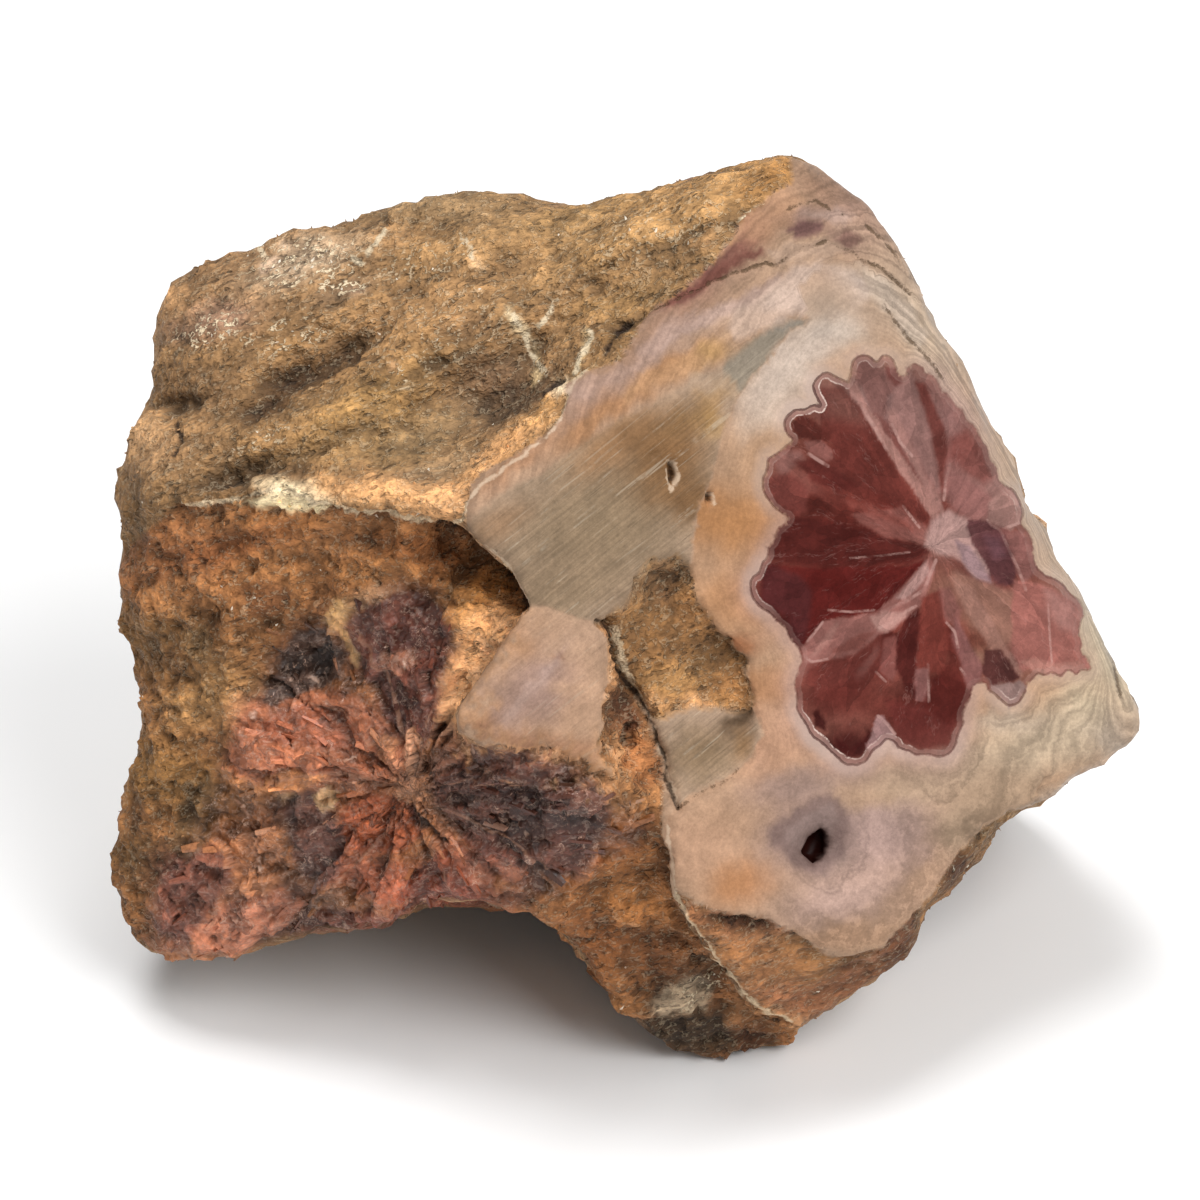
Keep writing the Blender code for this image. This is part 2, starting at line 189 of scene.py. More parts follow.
# Where the growth layers of the stalactite end: the grey block on the left, and the old outside on the right.
OUTER_LAYER = [
    [(664, 890), (662, 824), (677, 807), (722, 782), (740, 767), (764, 735), (753, 709), (750, 683),
     (748, 657), (727, 641), (704, 612), (695, 592), (690, 573), (693, 545), (697, 512), (709, 488),
     (719, 454), (724, 428), (737, 402), (750, 376), (774, 357), (789, 332), (808, 316), (830, 290),
     (858, 280), (886, 292), (912, 316), (945, 352), (985, 420), (1020, 482), (1060, 560), (1100, 640),
     (1128, 705)],
]
# Thin dark seams in the sawn face, cracks with painted shade, pale veins, pale broken edges with painted
# highlights, and pale rays, as chains.
SEAMS = [
    [(640, 314), (652, 308), (672, 302), (686, 294), (700, 290), (712, 281), (722, 279), (733, 273),
     (745, 271), (755, 266), (766, 263), (776, 266), (786, 258), (796, 252), (804, 247), (815, 246),
     (828, 241), (838, 246), (846, 251), (853, 252), (860, 259), (870, 263), (879, 266), (889, 274),
     (900, 284), (911, 294)],
    [(866, 226), (878, 236), (890, 248), (903, 263), (916, 281), (928, 298), (938, 313), (950, 330),
     (960, 350)],
    [(884, 306), (896, 322), (908, 338), (922, 352), (934, 366), (950, 390)],
    [(1094, 600), (1100, 618), (1106, 640), (1112, 655), (1117, 680), (1122, 702)],
    [(788, 210), (800, 204), (815, 201), (830, 209), (842, 214)],
    [(741, 768), (722, 783), (697, 795), (678, 808)],
]
CRACKS = [
    [(599, 621), (612, 625), (617, 640), (620, 659), (628, 686), (640, 705), (651, 722), (655, 740),
     (663, 752), (667, 778), (677, 806)],
    [(442, 528), (462, 538), (480, 552), (496, 570), (508, 588), (518, 604)],
    [(416, 812), (428, 826), (446, 841)], [(176, 424), (182, 440), (174, 455)],
    [(602, 350), (608, 342), (617, 326), (630, 318)], [(540, 392), (552, 384), (562, 378)],
    [(672, 464), (674, 472), (672, 482)], [(710, 494), (709, 501)],
]
LOBE_EDGE = [
    [(663, 832), (667, 868), (671, 902), (689, 932), (714, 967), (739, 999), (760, 1016), (786, 1027)],
]
VEINS = [
    [(512, 312), (516, 322), (524, 332), (528, 346), (534, 360), (545, 372)],
    [(590, 332), (588, 344), (580, 356), (575, 372)], [(385, 231), (378, 240), (367, 254)],
    [(462, 236), (469, 245), (472, 258)], [(740, 219), (748, 214), (752, 210)], [(352, 258), (362, 262)],
    [(246, 228), (256, 240), (262, 252)], [(556, 300), (548, 316), (536, 330)],
]
# Pale broken edges, with a painted highlight laid along them.
PALE_AND_LIT_EDGES = [
    [(182, 506), (215, 502), (240, 499), (262, 492), (280, 485), (292, 492), (306, 500), (330, 508),
     (360, 512), (400, 516), (425, 522), (450, 527), (461, 521), (466, 503), (478, 486), (505, 468),
     (526, 452), (545, 438), (560, 420), (567, 398)],
    [(484, 546), (496, 556), (508, 568), (518, 584), (527, 600)],
    [(620, 630), (626, 660), (640, 700), (655, 733), (668, 775), (676, 798)],
    [(667, 826), (670, 866), (675, 900), (693, 928), (718, 962), (743, 994), (766, 1012), (790, 1021)],
    [(566, 396), (576, 378), (588, 372)],
    [(668, 462), (675, 464), (678, 474), (676, 486), (671, 490), (668, 480), (667, 470)],
    [(706, 492), (713, 496), (712, 504)],
]
# Bright edges between the flower's crystals: pale crystal edges, partly painted glints.
FLOWER_EDGES = [
    (1.0, [(852, 392), (862, 406), (868, 417), (876, 429), (887, 450)]),
    (0.9, [(809, 454), (818, 460), (828, 466)]), (0.7, [(903, 506), (912, 518), (920, 528)]),
    (0.8, [(892, 424), (900, 442), (912, 456)]),
    (0.8, [(1006, 488), (1014, 497), (1021, 512), (1019, 523), (1008, 527)]),
    (0.7, [(987, 520), (992, 526), (1000, 530)]),
    (0.8, [(1001, 532), (1010, 552), (1018, 568), (1026, 590)]),
    (0.9, [(936, 560), (924, 590), (905, 602), (882, 612)]),
    (0.8, [(879, 628), (893, 622), (905, 612), (916, 606)]), (0.7, [(807, 642), (823, 622)]),
    (0.7, [(803, 655), (812, 662), (828, 659)]), (0.7, [(876, 672), (886, 682)]),
    (0.8, [(878, 716), (888, 725), (895, 734)]), (0.7, [(946, 622), (955, 632), (958, 648)]),
    (0.6, [(850, 558), (880, 556), (910, 552)]), (0.8, [(944, 500), (946, 480), (950, 464)]),
    (0.7, [(960, 668), (966, 676)]), (0.7, [(928, 664), (929, 702)]),
    (0.7, [(828, 610), (850, 612), (874, 610)]), (0.6, [(1048, 604), (1050, 640), (1052, 664)]),
]
FAN_RAYS = [
    (2.5, [(411, 790), (404, 752), (392, 700), (372, 650), (350, 628)]),
    (1.6, [(411, 788), (425, 740), (440, 690)]), (1.6, [(411, 788), (380, 752), (340, 712), (300, 700)]),
    (2.5, [(408, 792), (370, 780), (320, 774), (268, 784)]), (1.6, [(408, 794), (350, 812), (300, 806)]),
    (2.0, [(410, 798), (380, 840), (340, 880), (310, 905)]), (1.6, [(412, 800), (430, 850), (450, 895)]),
    (2.0, [(416, 796), (460, 815), (520, 850), (560, 880)]), (1.4, [(414, 790), (470, 780), (530, 790)]),
    (1.8, [(250, 850), (262, 880), (268, 920)]), (1.6, [(235, 800), (248, 830), (262, 850)]),
]
FINE_LINES = OUTER_LAYER + SEAMS + CRACKS + LOBE_EDGE + PALE_AND_LIT_EDGES + [chain for width, chain in FLOWER_EDGES]

# Hollows in the rough rock, and lumps where the depth is negative: middle, half length, half height, lean in
# degrees, and depth in mm.
HOLLOWS = [
    ((300, 370), 42, 13, 24, 1.1), ((345, 348), 26, 8, 24, 0.7), ((258, 404), 32, 10, 20, 0.8),
    ((235, 472), 46, 12, 22, 1.1), ((180, 402), 26, 9, 16, 0.8), ((448, 360), 56, 8, 24, 0.6),
    ((500, 400), 36, 26, 20, 0.6), ((520, 350), 24, 9, 20, 0.5), ((622, 325), 20, 8, 26, 0.6),
    ((340, 440), 60, 7, 20, 0.4), ((470, 300), 40, 7, 22, 0.4), ((600, 268), 60, 6, 20, 0.35),
    ((690, 236), 40, 6, 24, 0.3), ((386, 214), 6, 14, 0, 0.5), ((158, 434), 22, 20, 0, -0.9),
    ((470, 262), 9, 7, 0, -0.4), ((360, 410), 70, 14, 22, -0.4), ((430, 322), 46, 18, 24, -0.5),
    ((270, 440), 30, 9, 22, -0.4), ((200, 350), 40, 10, 18, -0.3), ((742, 922), 26, 8, -14, 1.4),
    ((618, 700), 12, 30, -18, 0.7), ((640, 758), 11, 14, 0, -0.4), ((310, 664), 24, 18, 10, 0.7),
    ((530, 800), 50, 22, -20, 0.6), ((672, 574), 22, 12, 20, 0.7), ((738, 722), 18, 11, 30, 0.6),
    ((720, 650), 14, 40, -60, 0.4), ((196, 640), 16, 30, -10, 0.5), ((660, 860), 10, 30, -6, 0.6),
    ((672, 472), 4, 13, 8, 0.7), ((709, 498), 3, 8, 0, 0.6), ((652, 455), 4, 5, 0, 0.3),
    ((552, 590), 5, 5, 0, 0.25), ((1046, 782), 16, 6, 30, 0.7), ((986, 832), 16, 6, 30, 0.7),
]
WHITE_GRIT = [
    ((250, 600), 120, 60, 0, 0.24), ((440, 330), 120, 60, 20, 0.3), ((650, 230), 120, 40, 20, 0.34),
    ((300, 266), 60, 24, 10, 1.0), ((345, 284), 30, 12, 10, 0.8), ((206, 332), 34, 14, 20, 0.9),
    ((150, 268), 12, 12, 0, 1.0), ((270, 330), 60, 14, 20, 0.5), ((420, 262), 60, 20, 10, 0.4),
    ((260, 440), 40, 12, 22, 0.5), ((300, 342), 40, 8, 22, 0.6), ((405, 372), 8, 6, 0, 0.9),
    ((470, 245), 10, 10, 0, 0.8), ((250, 236), 30, 8, 10, 0.7), ((420, 190), 60, 10, 0, 0.5),
    ((700, 990), 26, 16, 30, 0.7), ((520, 466), 40, 8, 38, 0.5),
]
# Broad washes of colour: the middle, half length, half height, lean in degrees (rising to the right), the
# colour as seen in daylight, and how strongly it covers. Later washes lie over earlier ones.
# The darkest matrix washes lie over the hollows and are painted shade.
MATRIX_WASHES = [
    ((480, 372), 44, 26, 20, (122, 98, 78), 0.7), ((390, 440), 60, 24, 20, (166, 134, 92), 0.7),
    ((230, 260), 110, 60, 15, (150, 118, 86), 0.8), ((300, 262), 60, 22, 20, (190, 168, 146), 0.85),
    ((210, 322), 50, 18, 15, (140, 112, 98), 0.8), ((400, 195), 130, 26, -5, (152, 128, 98), 0.8),
    ((560, 240), 150, 36, 18, (172, 139, 98), 0.9), ((690, 200), 120, 32, 22, (181, 143, 98), 0.9),
    ((768, 178), 36, 18, 25, (168, 124, 74), 0.9), ((450, 290), 110, 30, 22, (166, 130, 92), 0.8),
    ((300, 372), 44, 15, 22, (92, 64, 38), 0.85), ((350, 345), 40, 12, 22, (104, 76, 48), 0.7),
    ((268, 402), 34, 12, 22, (88, 60, 34), 0.8), ((380, 400), 90, 28, 25, (160, 126, 80), 0.8),
    ((500, 395), 64, 36, 22, (118, 92, 70), 0.85), ((430, 430), 60, 20, 22, (134, 112, 84), 0.7),
    ((470, 365), 60, 10, 24, (92, 70, 48), 0.5), ((250, 475), 60, 15, 18, (84, 60, 38), 0.8),
    ((160, 450), 60, 40, 20, (148, 116, 84), 0.7), ((150, 290), 26, 42, 80, (208, 164, 120), 0.85),
    ((143, 262), 14, 10, 60, (240, 226, 200), 0.9), ((138, 440), 26, 34, 70, (196, 158, 120), 0.7),
    ((190, 380), 36, 22, 20, (112, 86, 60), 0.7), ((120, 520), 30, 26, 20, (128, 98, 66), 0.6),
    ((620, 300), 50, 16, 20, (152, 120, 78), 0.6), ((610, 335), 34, 10, 22, (110, 82, 46), 0.7),
    ((430, 470), 56, 14, 20, (132, 112, 90), 0.7), ((330, 440), 120, 12, 18, (140, 112, 76), 0.5),
    ((585, 210), 60, 10, 15, (150, 120, 80), 0.5), ((345, 290), 40, 12, 22, (122, 104, 88), 0.6),
]
# The first slope wash is the bright broken corner: pale rock with a painted highlight on it.
SLOPE_WASHES = [
    ((300, 492), 36, 10, -12, (252, 244, 216), 0.95), ((370, 492), 80, 18, -6, (216, 166, 118), 0.95),
    ((445, 502), 40, 22, 20, (230, 178, 130), 0.95), ((505, 445), 66, 13, 38, (224, 172, 122), 0.95),
    ((545, 405), 34, 10, 40, (212, 164, 110), 0.9), ((562, 386), 10, 8, 40, (245, 230, 205), 0.9),
]
# The dark bands under the ridge and under the grey block's corner are painted shade.
FAN_WASHES = [
    ((260, 560), 130, 50, 10, (170, 118, 76), 0.9), ((170, 565), 60, 46, 20, (158, 106, 70), 0.9),
    ((230, 545), 70, 14, 12, (140, 86, 52), 0.7), ((330, 600), 90, 16, 14, (126, 84, 52), 0.7),
    ((420, 560), 70, 22, 8, (146, 94, 56), 0.8), ((390, 540), 60, 8, -4, (110, 68, 38), 0.8),
    ((500, 600), 34, 42, 60, (196, 138, 80), 0.95), ((478, 560), 30, 14, 20, (110, 72, 40), 0.85),
    ((130, 640), 44, 90, 80, (122, 92, 58), 0.85), ((150, 770), 36, 100, 70, (140, 104, 62), 0.85),
    ((140, 860), 30, 46, 70, (96, 72, 44), 0.85), ((210, 700), 50, 36, 30, (176, 136, 92), 0.8),
    ((225, 640), 70, 18, 20, (132, 92, 58), 0.7), ((308, 664), 42, 26, 15, (86, 66, 58), 0.9),
    ((262, 690), 26, 12, 20, (80, 62, 52), 0.8), ((340, 615), 18, 9, 60, (214, 178, 128), 0.9),
    ((353, 640), 9, 22, 25, (206, 170, 124), 0.9), ((400, 645), 46, 52, 80, (106, 66, 58), 0.95),
    ((408, 720), 26, 44, 90, (100, 58, 50), 0.9), ((395, 665), 26, 12, 0, (150, 106, 88), 0.6),
    ((440, 670), 18, 40, 80, (132, 92, 78), 0.7), ((300, 728), 66, 28, 8, (166, 108, 80), 0.95),
    ((250, 720), 30, 30, 30, (186, 132, 100), 0.8), ((330, 770), 90, 14, -4, (160, 104, 76), 0.9),
    ((255, 782), 34, 11, 0, (204, 148, 104), 0.9), ((290, 812), 44, 14, 20, (106, 74, 62), 0.85),
    ((325, 850), 30, 34, 70, (112, 78, 70), 0.9), ((290, 800), 12, 8, 0, (214, 180, 140), 0.8),
    ((370, 820), 46, 36, 30, (158, 94, 62), 0.9), ((240, 850), 36, 44, 50, (176, 120, 84), 0.9),
    ((180, 880), 34, 36, 40, (122, 80, 68), 0.85), ((230, 920), 60, 24, 15, (176, 120, 94), 0.9),
    ((170, 930), 24, 20, 10, (106, 66, 56), 0.8), ((400, 885), 70, 26, -14, (152, 88, 66), 0.95),
    ((330, 930), 80, 12, 12, (112, 66, 52), 0.9), ((410, 790), 20, 18, 0, (196, 144, 108), 0.9),
    ((400, 765), 30, 18, -30, (186, 134, 104), 0.8), ((520, 792), 70, 30, -12, (92, 62, 56), 0.97),
    ((560, 835), 60, 26, -24, (104, 74, 68), 0.95), ((590, 855), 34, 20, -20, (84, 56, 54), 0.9),
    ((560, 760), 44, 9, -10, (120, 86, 62), 0.8), ((470, 850), 40, 22, -30, (148, 92, 74), 0.85),
    ((470, 900), 60, 12, -4, (120, 70, 56), 0.85), ((600, 800), 36, 20, -20, (140, 106, 72), 0.7),
    ((488, 622), 24, 46, 65, (206, 152, 98), 0.9), ((470, 702), 16, 34, 65, (188, 152, 128), 0.85),
    ((452, 728), 16, 12, 30, (176, 140, 118), 0.7), ((540, 758), 60, 12, -6, (150, 112, 84), 0.6),
    ((455, 822), 40, 5, -42, (206, 154, 120), 0.7), ((290, 905), 20, 24, 30, (108, 76, 64), 0.7),
]
WALL_WASHES = [
    ((620, 880), 60, 46, 30, (152, 100, 58), 0.95), ((600, 940), 50, 40, 40, (140, 88, 50), 0.9),
    ((640, 830), 30, 18, 10, (84, 50, 26), 0.9), ((640, 905), 24, 40, 80, (176, 122, 76), 0.7),
    ((660, 960), 40, 40, 60, (112, 70, 40), 0.9), ((690, 1010), 50, 40, 60, (72, 54, 42), 0.95),
    ((690, 995), 20, 14, 40, (158, 138, 120), 0.95), ((750, 1040), 40, 16, 10, (84, 50, 30), 0.9),
    ((660, 1040), 50, 14, -20, (58, 44, 36), 0.9), ((728, 985), 12, 40, -45, (150, 100, 62), 0.7),
]
# The dark wash at (745, 925) lies over a hollow and is painted shade.
CRUST_WASHES = [
    ((760, 960), 60, 30, -20, (166, 120, 82), 0.95), ((700, 915), 26, 12, -30, (188, 132, 96), 0.8),
    ((745, 925), 26, 9, -14, (104, 66, 42), 0.9), ((800, 1000), 60, 16, -14, (150, 104, 78), 0.9),
    ((850, 985), 50, 22, 20, (124, 84, 60), 0.95), ((900, 950), 30, 24, 40, (98, 62, 40), 0.95),
    ((960, 870), 26, 24, 40, (84, 56, 38), 0.95), ((1000, 830), 30, 8, 35, (96, 72, 48), 0.9),
    ((1090, 765), 80, 9, 20, (104, 80, 48), 0.9),
]
SAWN_WASHES = [
    ((600, 400), 60, 22, 38, (182, 146, 122), 0.95), ((660, 340), 70, 26, 40, (168, 136, 116), 0.95),
    ((740, 310), 90, 22, 22, (190, 160, 138), 0.95), ((820, 270), 90, 22, 4, (194, 166, 142), 0.95),
    ((600, 420), 60, 10, 36, (196, 150, 110), 0.85), ((670, 365), 60, 15, 30, (194, 146, 104), 0.9),
    ((708, 354), 24, 10, 20, (208, 172, 122), 0.8), ((735, 330), 40, 6, 24, (206, 176, 148), 0.7),
    ((520, 462), 56, 10, 36, (190, 148, 116), 0.85), ((755, 225), 46, 20, 30, (190, 146, 118), 0.95),
    ((700, 282), 66, 20, 34, (172, 138, 120), 0.8), ((716, 264), 60, 9, 36, (132, 88, 80), 0.95),
    ((664, 300), 24, 7, 34, (150, 112, 98), 0.8), ((700, 330), 90, 10, 30, (196, 170, 150), 0.7),
    ((770, 300), 60, 12, 16, (206, 182, 162), 0.7), ((792, 280), 50, 7, 20, (186, 158, 138), 0.6),
    ((860, 245), 50, 6, -30, (150, 122, 108), 0.7), ((760, 190), 30, 20, 30, (176, 134, 106), 0.8),
    ((575, 396), 20, 16, 40, (186, 158, 142), 0.9), ((640, 366), 60, 9, 38, (184, 156, 140), 0.8),
    ((804, 229), 20, 9, 10, (124, 92, 90), 0.95), ((847, 235), 14, 7, -25, (130, 100, 94), 0.9),
    ((830, 190), 40, 24, -30, (160, 130, 110), 0.9), ((860, 225), 40, 30, -45, (178, 150, 136), 0.8),
    ((815, 215), 40, 7, 10, (170, 142, 134), 0.7), ((900, 290), 70, 22, -52, (196, 172, 150), 0.9),
    ((930, 340), 60, 18, -58, (200, 176, 152), 0.9), ((1000, 400), 90, 14, -60, (206, 184, 162), 0.9),
    ((1070, 540), 90, 18, -64, (212, 192, 168), 0.95), ((1108, 650), 70, 22, -66, (204, 186, 160), 0.95),
]
SAWN_PATCHES = [
    ([(640, 352), (660, 330), (700, 312), (740, 296), (774, 280), (786, 276), (760, 300), (716, 322),
     (680, 336), (656, 356)], 0.3, (204, 180, 172), 0.7),
    ([(566, 396), (578, 382), (600, 376), (630, 364), (640, 346), (668, 318), (700, 304), (690, 322),
     (664, 340), (652, 362), (626, 376), (600, 392), (584, 402)], 0.3, (190, 164, 152), 0.65),
    ([(620, 392), (642, 372), (664, 366), (690, 350), (712, 338), (728, 344), (722, 360), (694, 368),
     (668, 384), (640, 392), (626, 404)], 0.4, (206, 166, 128), 0.7),
    ([(696, 350), (712, 340), (724, 346), (720, 357), (704, 361)], 0.6, (214, 176, 120), 0.5),
    ([(824, 314), (806, 323), (791, 328), (778, 330), (752, 340), (728, 356), (726, 374), (736, 390),
     (742, 394), (750, 380), (764, 362), (778, 344), (792, 333), (810, 326)], 0.15, (154, 141, 124), 0.95),
    ([(738, 306), (768, 290), (800, 290), (826, 298), (822, 310), (796, 318), (764, 328), (738, 338),
     (726, 330)], 0.4, (220, 198, 184), 0.7),
    ([(822, 314), (806, 320), (780, 328), (770, 334), (784, 336), (800, 328), (816, 320)], 0.15,
     (148, 138, 126), 0.7),
    ([(791, 270), (816, 262), (838, 266), (860, 276), (872, 292), (852, 312), (824, 320), (800, 314),
     (780, 312), (756, 308), (770, 290)], 0.6, (222, 202, 190), 0.8),
    ([(700, 396), (716, 390), (728, 392), (720, 410), (708, 430), (702, 414)], 0.5, (188, 144, 88), 0.4),
    ([(758, 206), (790, 190), (806, 204), (790, 226), (764, 240), (744, 238)], 0.6, (198, 160, 130), 0.6),
    ([(666, 300), (676, 292), (700, 278), (724, 262), (744, 252), (762, 248), (766, 256), (744, 264),
     (722, 276), (700, 288), (680, 300), (668, 306)], 0.15, (128, 84, 76), 0.9),
    ([(786, 232), (800, 222), (820, 220), (826, 230), (812, 238), (794, 240)], 0.15, (122, 92, 90), 0.85),
    ([(838, 236), (850, 228), (862, 236), (856, 244), (844, 242)], 0.15, (128, 98, 92), 0.8),
    ([(766, 250), (790, 244), (812, 242), (830, 236), (846, 246), (826, 256), (796, 262), (774, 266)], 0.3,
     (196, 172, 154), 0.7),
    ([(806, 214), (836, 206), (858, 216), (846, 224), (820, 218)], 0.4, (188, 166, 156), 0.7),
    ([(860, 268), (884, 276), (904, 300), (930, 336), (918, 348), (890, 318), (866, 292)], 0.5,
     (208, 188, 170), 0.7),
]
# The two darkest block washes lie over hollows and are painted shade.
BLOCK_WASHES = [
    ((600, 520), 140, 90, 30, (150, 127, 101), 1.0), ((560, 590), 60, 30, 20, (154, 130, 104), 0.9),
    ((620, 440), 60, 22, 34, (162, 122, 86), 0.9), ((665, 455), 46, 40, 40, (136, 98, 62), 0.9),
    ((700, 500), 26, 60, 80, (134, 98, 64), 0.9), ((690, 415), 34, 18, 30, (150, 112, 72), 0.8),
    ((715, 425), 14, 22, 70, (180, 142, 92), 0.6), ((765, 350), 36, 16, 42, (164, 146, 130), 0.95),
    ((735, 380), 40, 14, 30, (176, 148, 120), 0.9), ((500, 520), 34, 20, 30, (156, 122, 92), 0.8),
    ((690, 640), 70, 50, 0, (122, 92, 62), 0.95), ((670, 572), 22, 13, 20, (92, 68, 46), 0.9),
    ((700, 610), 20, 30, 60, (146, 110, 78), 0.6), ((670, 680), 36, 18, 20, (148, 118, 84), 0.7),
    ((735, 690), 16, 26, 80, (150, 110, 74), 0.5), ((700, 755), 46, 34, 20, (152, 126, 98), 0.95),
    ((738, 722), 20, 14, 30, (108, 86, 66), 0.9), ((745, 745), 16, 16, 30, (150, 112, 72), 0.7),
]
SMALL_WASHES = [
    ((530, 690), 110, 110, 0, (198, 158, 128), 1.0), ((535, 688), 46, 32, 40, (174, 142, 128), 0.95),
    ((500, 706), 30, 22, 20, (166, 134, 118), 0.85), ((472, 724), 24, 14, 20, (150, 106, 80), 0.9),
    ((575, 640), 36, 14, 30, (206, 168, 140), 0.7), ((592, 690), 8, 50, 84, (208, 168, 138), 0.8),
    ((560, 655), 4, 8, 90, (142, 96, 70), 0.8), ((530, 742), 60, 12, -6, (176, 128, 98), 0.85),
    ((585, 752), 26, 16, 0, (186, 138, 106), 0.8), ((512, 640), 16, 26, 60, (206, 158, 122), 0.8),
    ((548, 670), 30, 5, 50, (188, 158, 146), 0.7), ((520, 700), 30, 5, 50, (190, 160, 146), 0.6),
]
STALACTITE_WASHES = [
    ((900, 600), 400, 500, 0, (196, 156, 124), 1.0), ((730, 520), 36, 110, 80, (184, 131, 86), 0.95),
    ((760, 430), 34, 50, 60, (190, 148, 112), 0.9), ((745, 600), 34, 60, 90, (196, 143, 100), 0.9),
    ((735, 648), 26, 12, 10, (176, 114, 76), 0.85), ((760, 690), 20, 50, 95, (192, 140, 100), 0.9),
    ((800, 345), 50, 26, 40, (202, 174, 152), 0.95), ((860, 305), 80, 30, 10, (196, 170, 148), 0.95),
    ((850, 335), 60, 14, 0, (200, 180, 162), 0.8), ((900, 345), 40, 12, -30, (196, 158, 128), 0.8),
    ((770, 745), 40, 44, 60, (204, 158, 128), 0.9), ((700, 850), 46, 60, 90, (204, 162, 132), 0.95),
    ((742, 882), 34, 24, 20, (200, 142, 98), 0.9), ((800, 785), 60, 20, 10, (176, 146, 132), 0.9),
    ((810, 835), 50, 44, 20, (160, 134, 126), 0.9), ((880, 830), 70, 60, 20, (186, 156, 146), 0.95),
    ((840, 900), 70, 30, 10, (194, 162, 148), 0.95), ((830, 940), 70, 14, 4, (186, 148, 120), 0.9),
    ((920, 880), 50, 14, 44, (202, 164, 136), 0.9), ((890, 785), 60, 18, 0, (184, 154, 128), 0.9),
    ((970, 770), 80, 40, 10, (190, 162, 136), 0.95), ((1000, 800), 50, 26, 30, (182, 154, 128), 0.9),
    ((960, 830), 30, 26, 30, (172, 146, 122), 0.9), ((1060, 735), 80, 34, 10, (198, 176, 150), 0.95),
    ((1010, 720), 40, 12, 0, (200, 178, 156), 0.8), ((1120, 730), 34, 30, 60, (192, 174, 156), 0.95),
    ((1105, 690), 30, 40, 110, (206, 188, 160), 0.9), ((850, 800), 40, 12, 10, (196, 160, 128), 0.6),
    ((768, 398), 46, 32, 50, (220, 200, 184), 0.75), ((812, 350), 60, 22, 30, (222, 204, 190), 0.6),
]
FLOWER_WASHES = [
    ((900, 560), 300, 300, 0, (124, 66, 58), 1.0), ((850, 470), 70, 50, -40, (110, 56, 49), 0.9),
    ((830, 530), 76, 40, -10, (88, 36, 30), 0.95), ((820, 600), 76, 36, 6, (72, 24, 20), 0.97),
    ((790, 620), 30, 26, -40, (74, 28, 25), 0.9), ((880, 400), 40, 34, 0, (138, 106, 101), 0.9),
    ((835, 405), 30, 22, -40, (126, 88, 83), 0.8), ((795, 480), 24, 36, 60, (136, 84, 76), 0.7),
    ((930, 420), 44, 44, 0, (140, 102, 97), 0.9), ((962, 470), 26, 40, 60, (146, 98, 92), 0.8),
    ((990, 490), 34, 44, 0, (156, 116, 108), 0.9), ((990, 556), 34, 26, -50, (98, 64, 66), 0.97),
    ((1018, 545), 14, 34, 60, (122, 80, 78), 0.8), ((950, 590), 30, 26, 0, (150, 104, 88), 0.8),
    ((985, 640), 34, 34, -40, (158, 118, 98), 0.9), ((1058, 630), 36, 44, 70, (184, 126, 114), 0.97),
    ((1030, 655), 18, 24, 80, (170, 110, 98), 0.9), ((1004, 668), 20, 16, 30, (84, 54, 54), 0.97),
    ((1008, 693), 18, 9, 10, (140, 112, 102), 0.9), ((860, 640), 56, 20, 26, (134, 80, 71), 0.9),
    ((840, 690), 44, 34, 10, (98, 44, 39), 0.9), ((846, 742), 30, 16, 0, (66, 24, 22), 0.95),
    ((902, 640), 14, 40, 80, (78, 28, 24), 0.92), ((950, 700), 24, 40, 80, (86, 34, 30), 0.95),
    ((905, 715), 40, 26, 0, (88, 36, 31), 0.9), ((930, 625), 10, 60, 84, (128, 70, 60), 0.7),
    ((955, 640), 12, 50, 76, (112, 54, 46), 0.7), ((938, 545), 26, 16, 0, (172, 126, 114), 0.9),
    ((880, 556), 60, 8, 0, (86, 32, 28), 0.7), ((870, 590), 60, 7, 24, (110, 56, 48), 0.6),
    ((880, 500), 44, 12, -38, (104, 48, 42), 0.7), ((912, 440), 12, 44, 72, (112, 64, 60), 0.6),
]
# Pale patches of the rough rock, with the bright broken corner at the top of the front first: pale rock with
# a painted highlight on it.
PALE_PATCHES = [
    ([(238, 506), (256, 501), (270, 492), (281, 482), (289, 482), (297, 489), (310, 500), (336, 508),
     (316, 512), (298, 510), (280, 508), (262, 507)], 0.2, (255, 240, 206), 1.0),
    ([(255, 269), (262, 260), (270, 255), (278, 258), (277, 263), (268, 267), (262, 271)], 0.15,
     (206, 180, 160), 0.9),
    ([(279, 244), (285, 240), (291, 245), (288, 250), (281, 249)], 0.15, (206, 182, 160), 0.8),
    ([(295, 266), (299, 261), (304, 270), (300, 277)], 0.15, (222, 200, 176), 0.8),
    ([(305, 263), (311, 258), (317, 263), (312, 269)], 0.15, (200, 180, 158), 0.8),
    ([(345, 290), (352, 283), (364, 286), (366, 294), (356, 298)], 0.25, (158, 132, 112), 0.7),
    ([(387, 366), (391, 359), (399, 364), (397, 373)], 0.2, (182, 146, 112), 0.7),
    ([(398, 388), (403, 384), (408, 388), (404, 393)], 0.15, (230, 208, 178), 0.9),
    ([(506, 304), (513, 312), (530, 330), (533, 342), (525, 339), (514, 329), (506, 318)], 0.2,
     (226, 208, 176), 0.85),
    ([(529, 340), (537, 352), (541, 372), (534, 386), (528, 380), (533, 360)], 0.2, (212, 190, 152), 0.7),
    ([(583, 328), (590, 332), (588, 350), (580, 368), (574, 374), (581, 352)], 0.2, (214, 190, 150), 0.7),
    ([(470, 262), (478, 258), (486, 263), (480, 269), (472, 268)], 0.15, (226, 190, 150), 0.8),
    ([(500, 592), (530, 590), (545, 600), (522, 640), (504, 672), (482, 704), (462, 722), (446, 712),
     (444, 680), (452, 640), (470, 612)], 0.8, (238, 182, 134), 0.75),
    ([(134, 262), (142, 256), (158, 262), (152, 272), (146, 292), (138, 310), (134, 290)], 0.25,
     (220, 190, 168), 0.6),
]
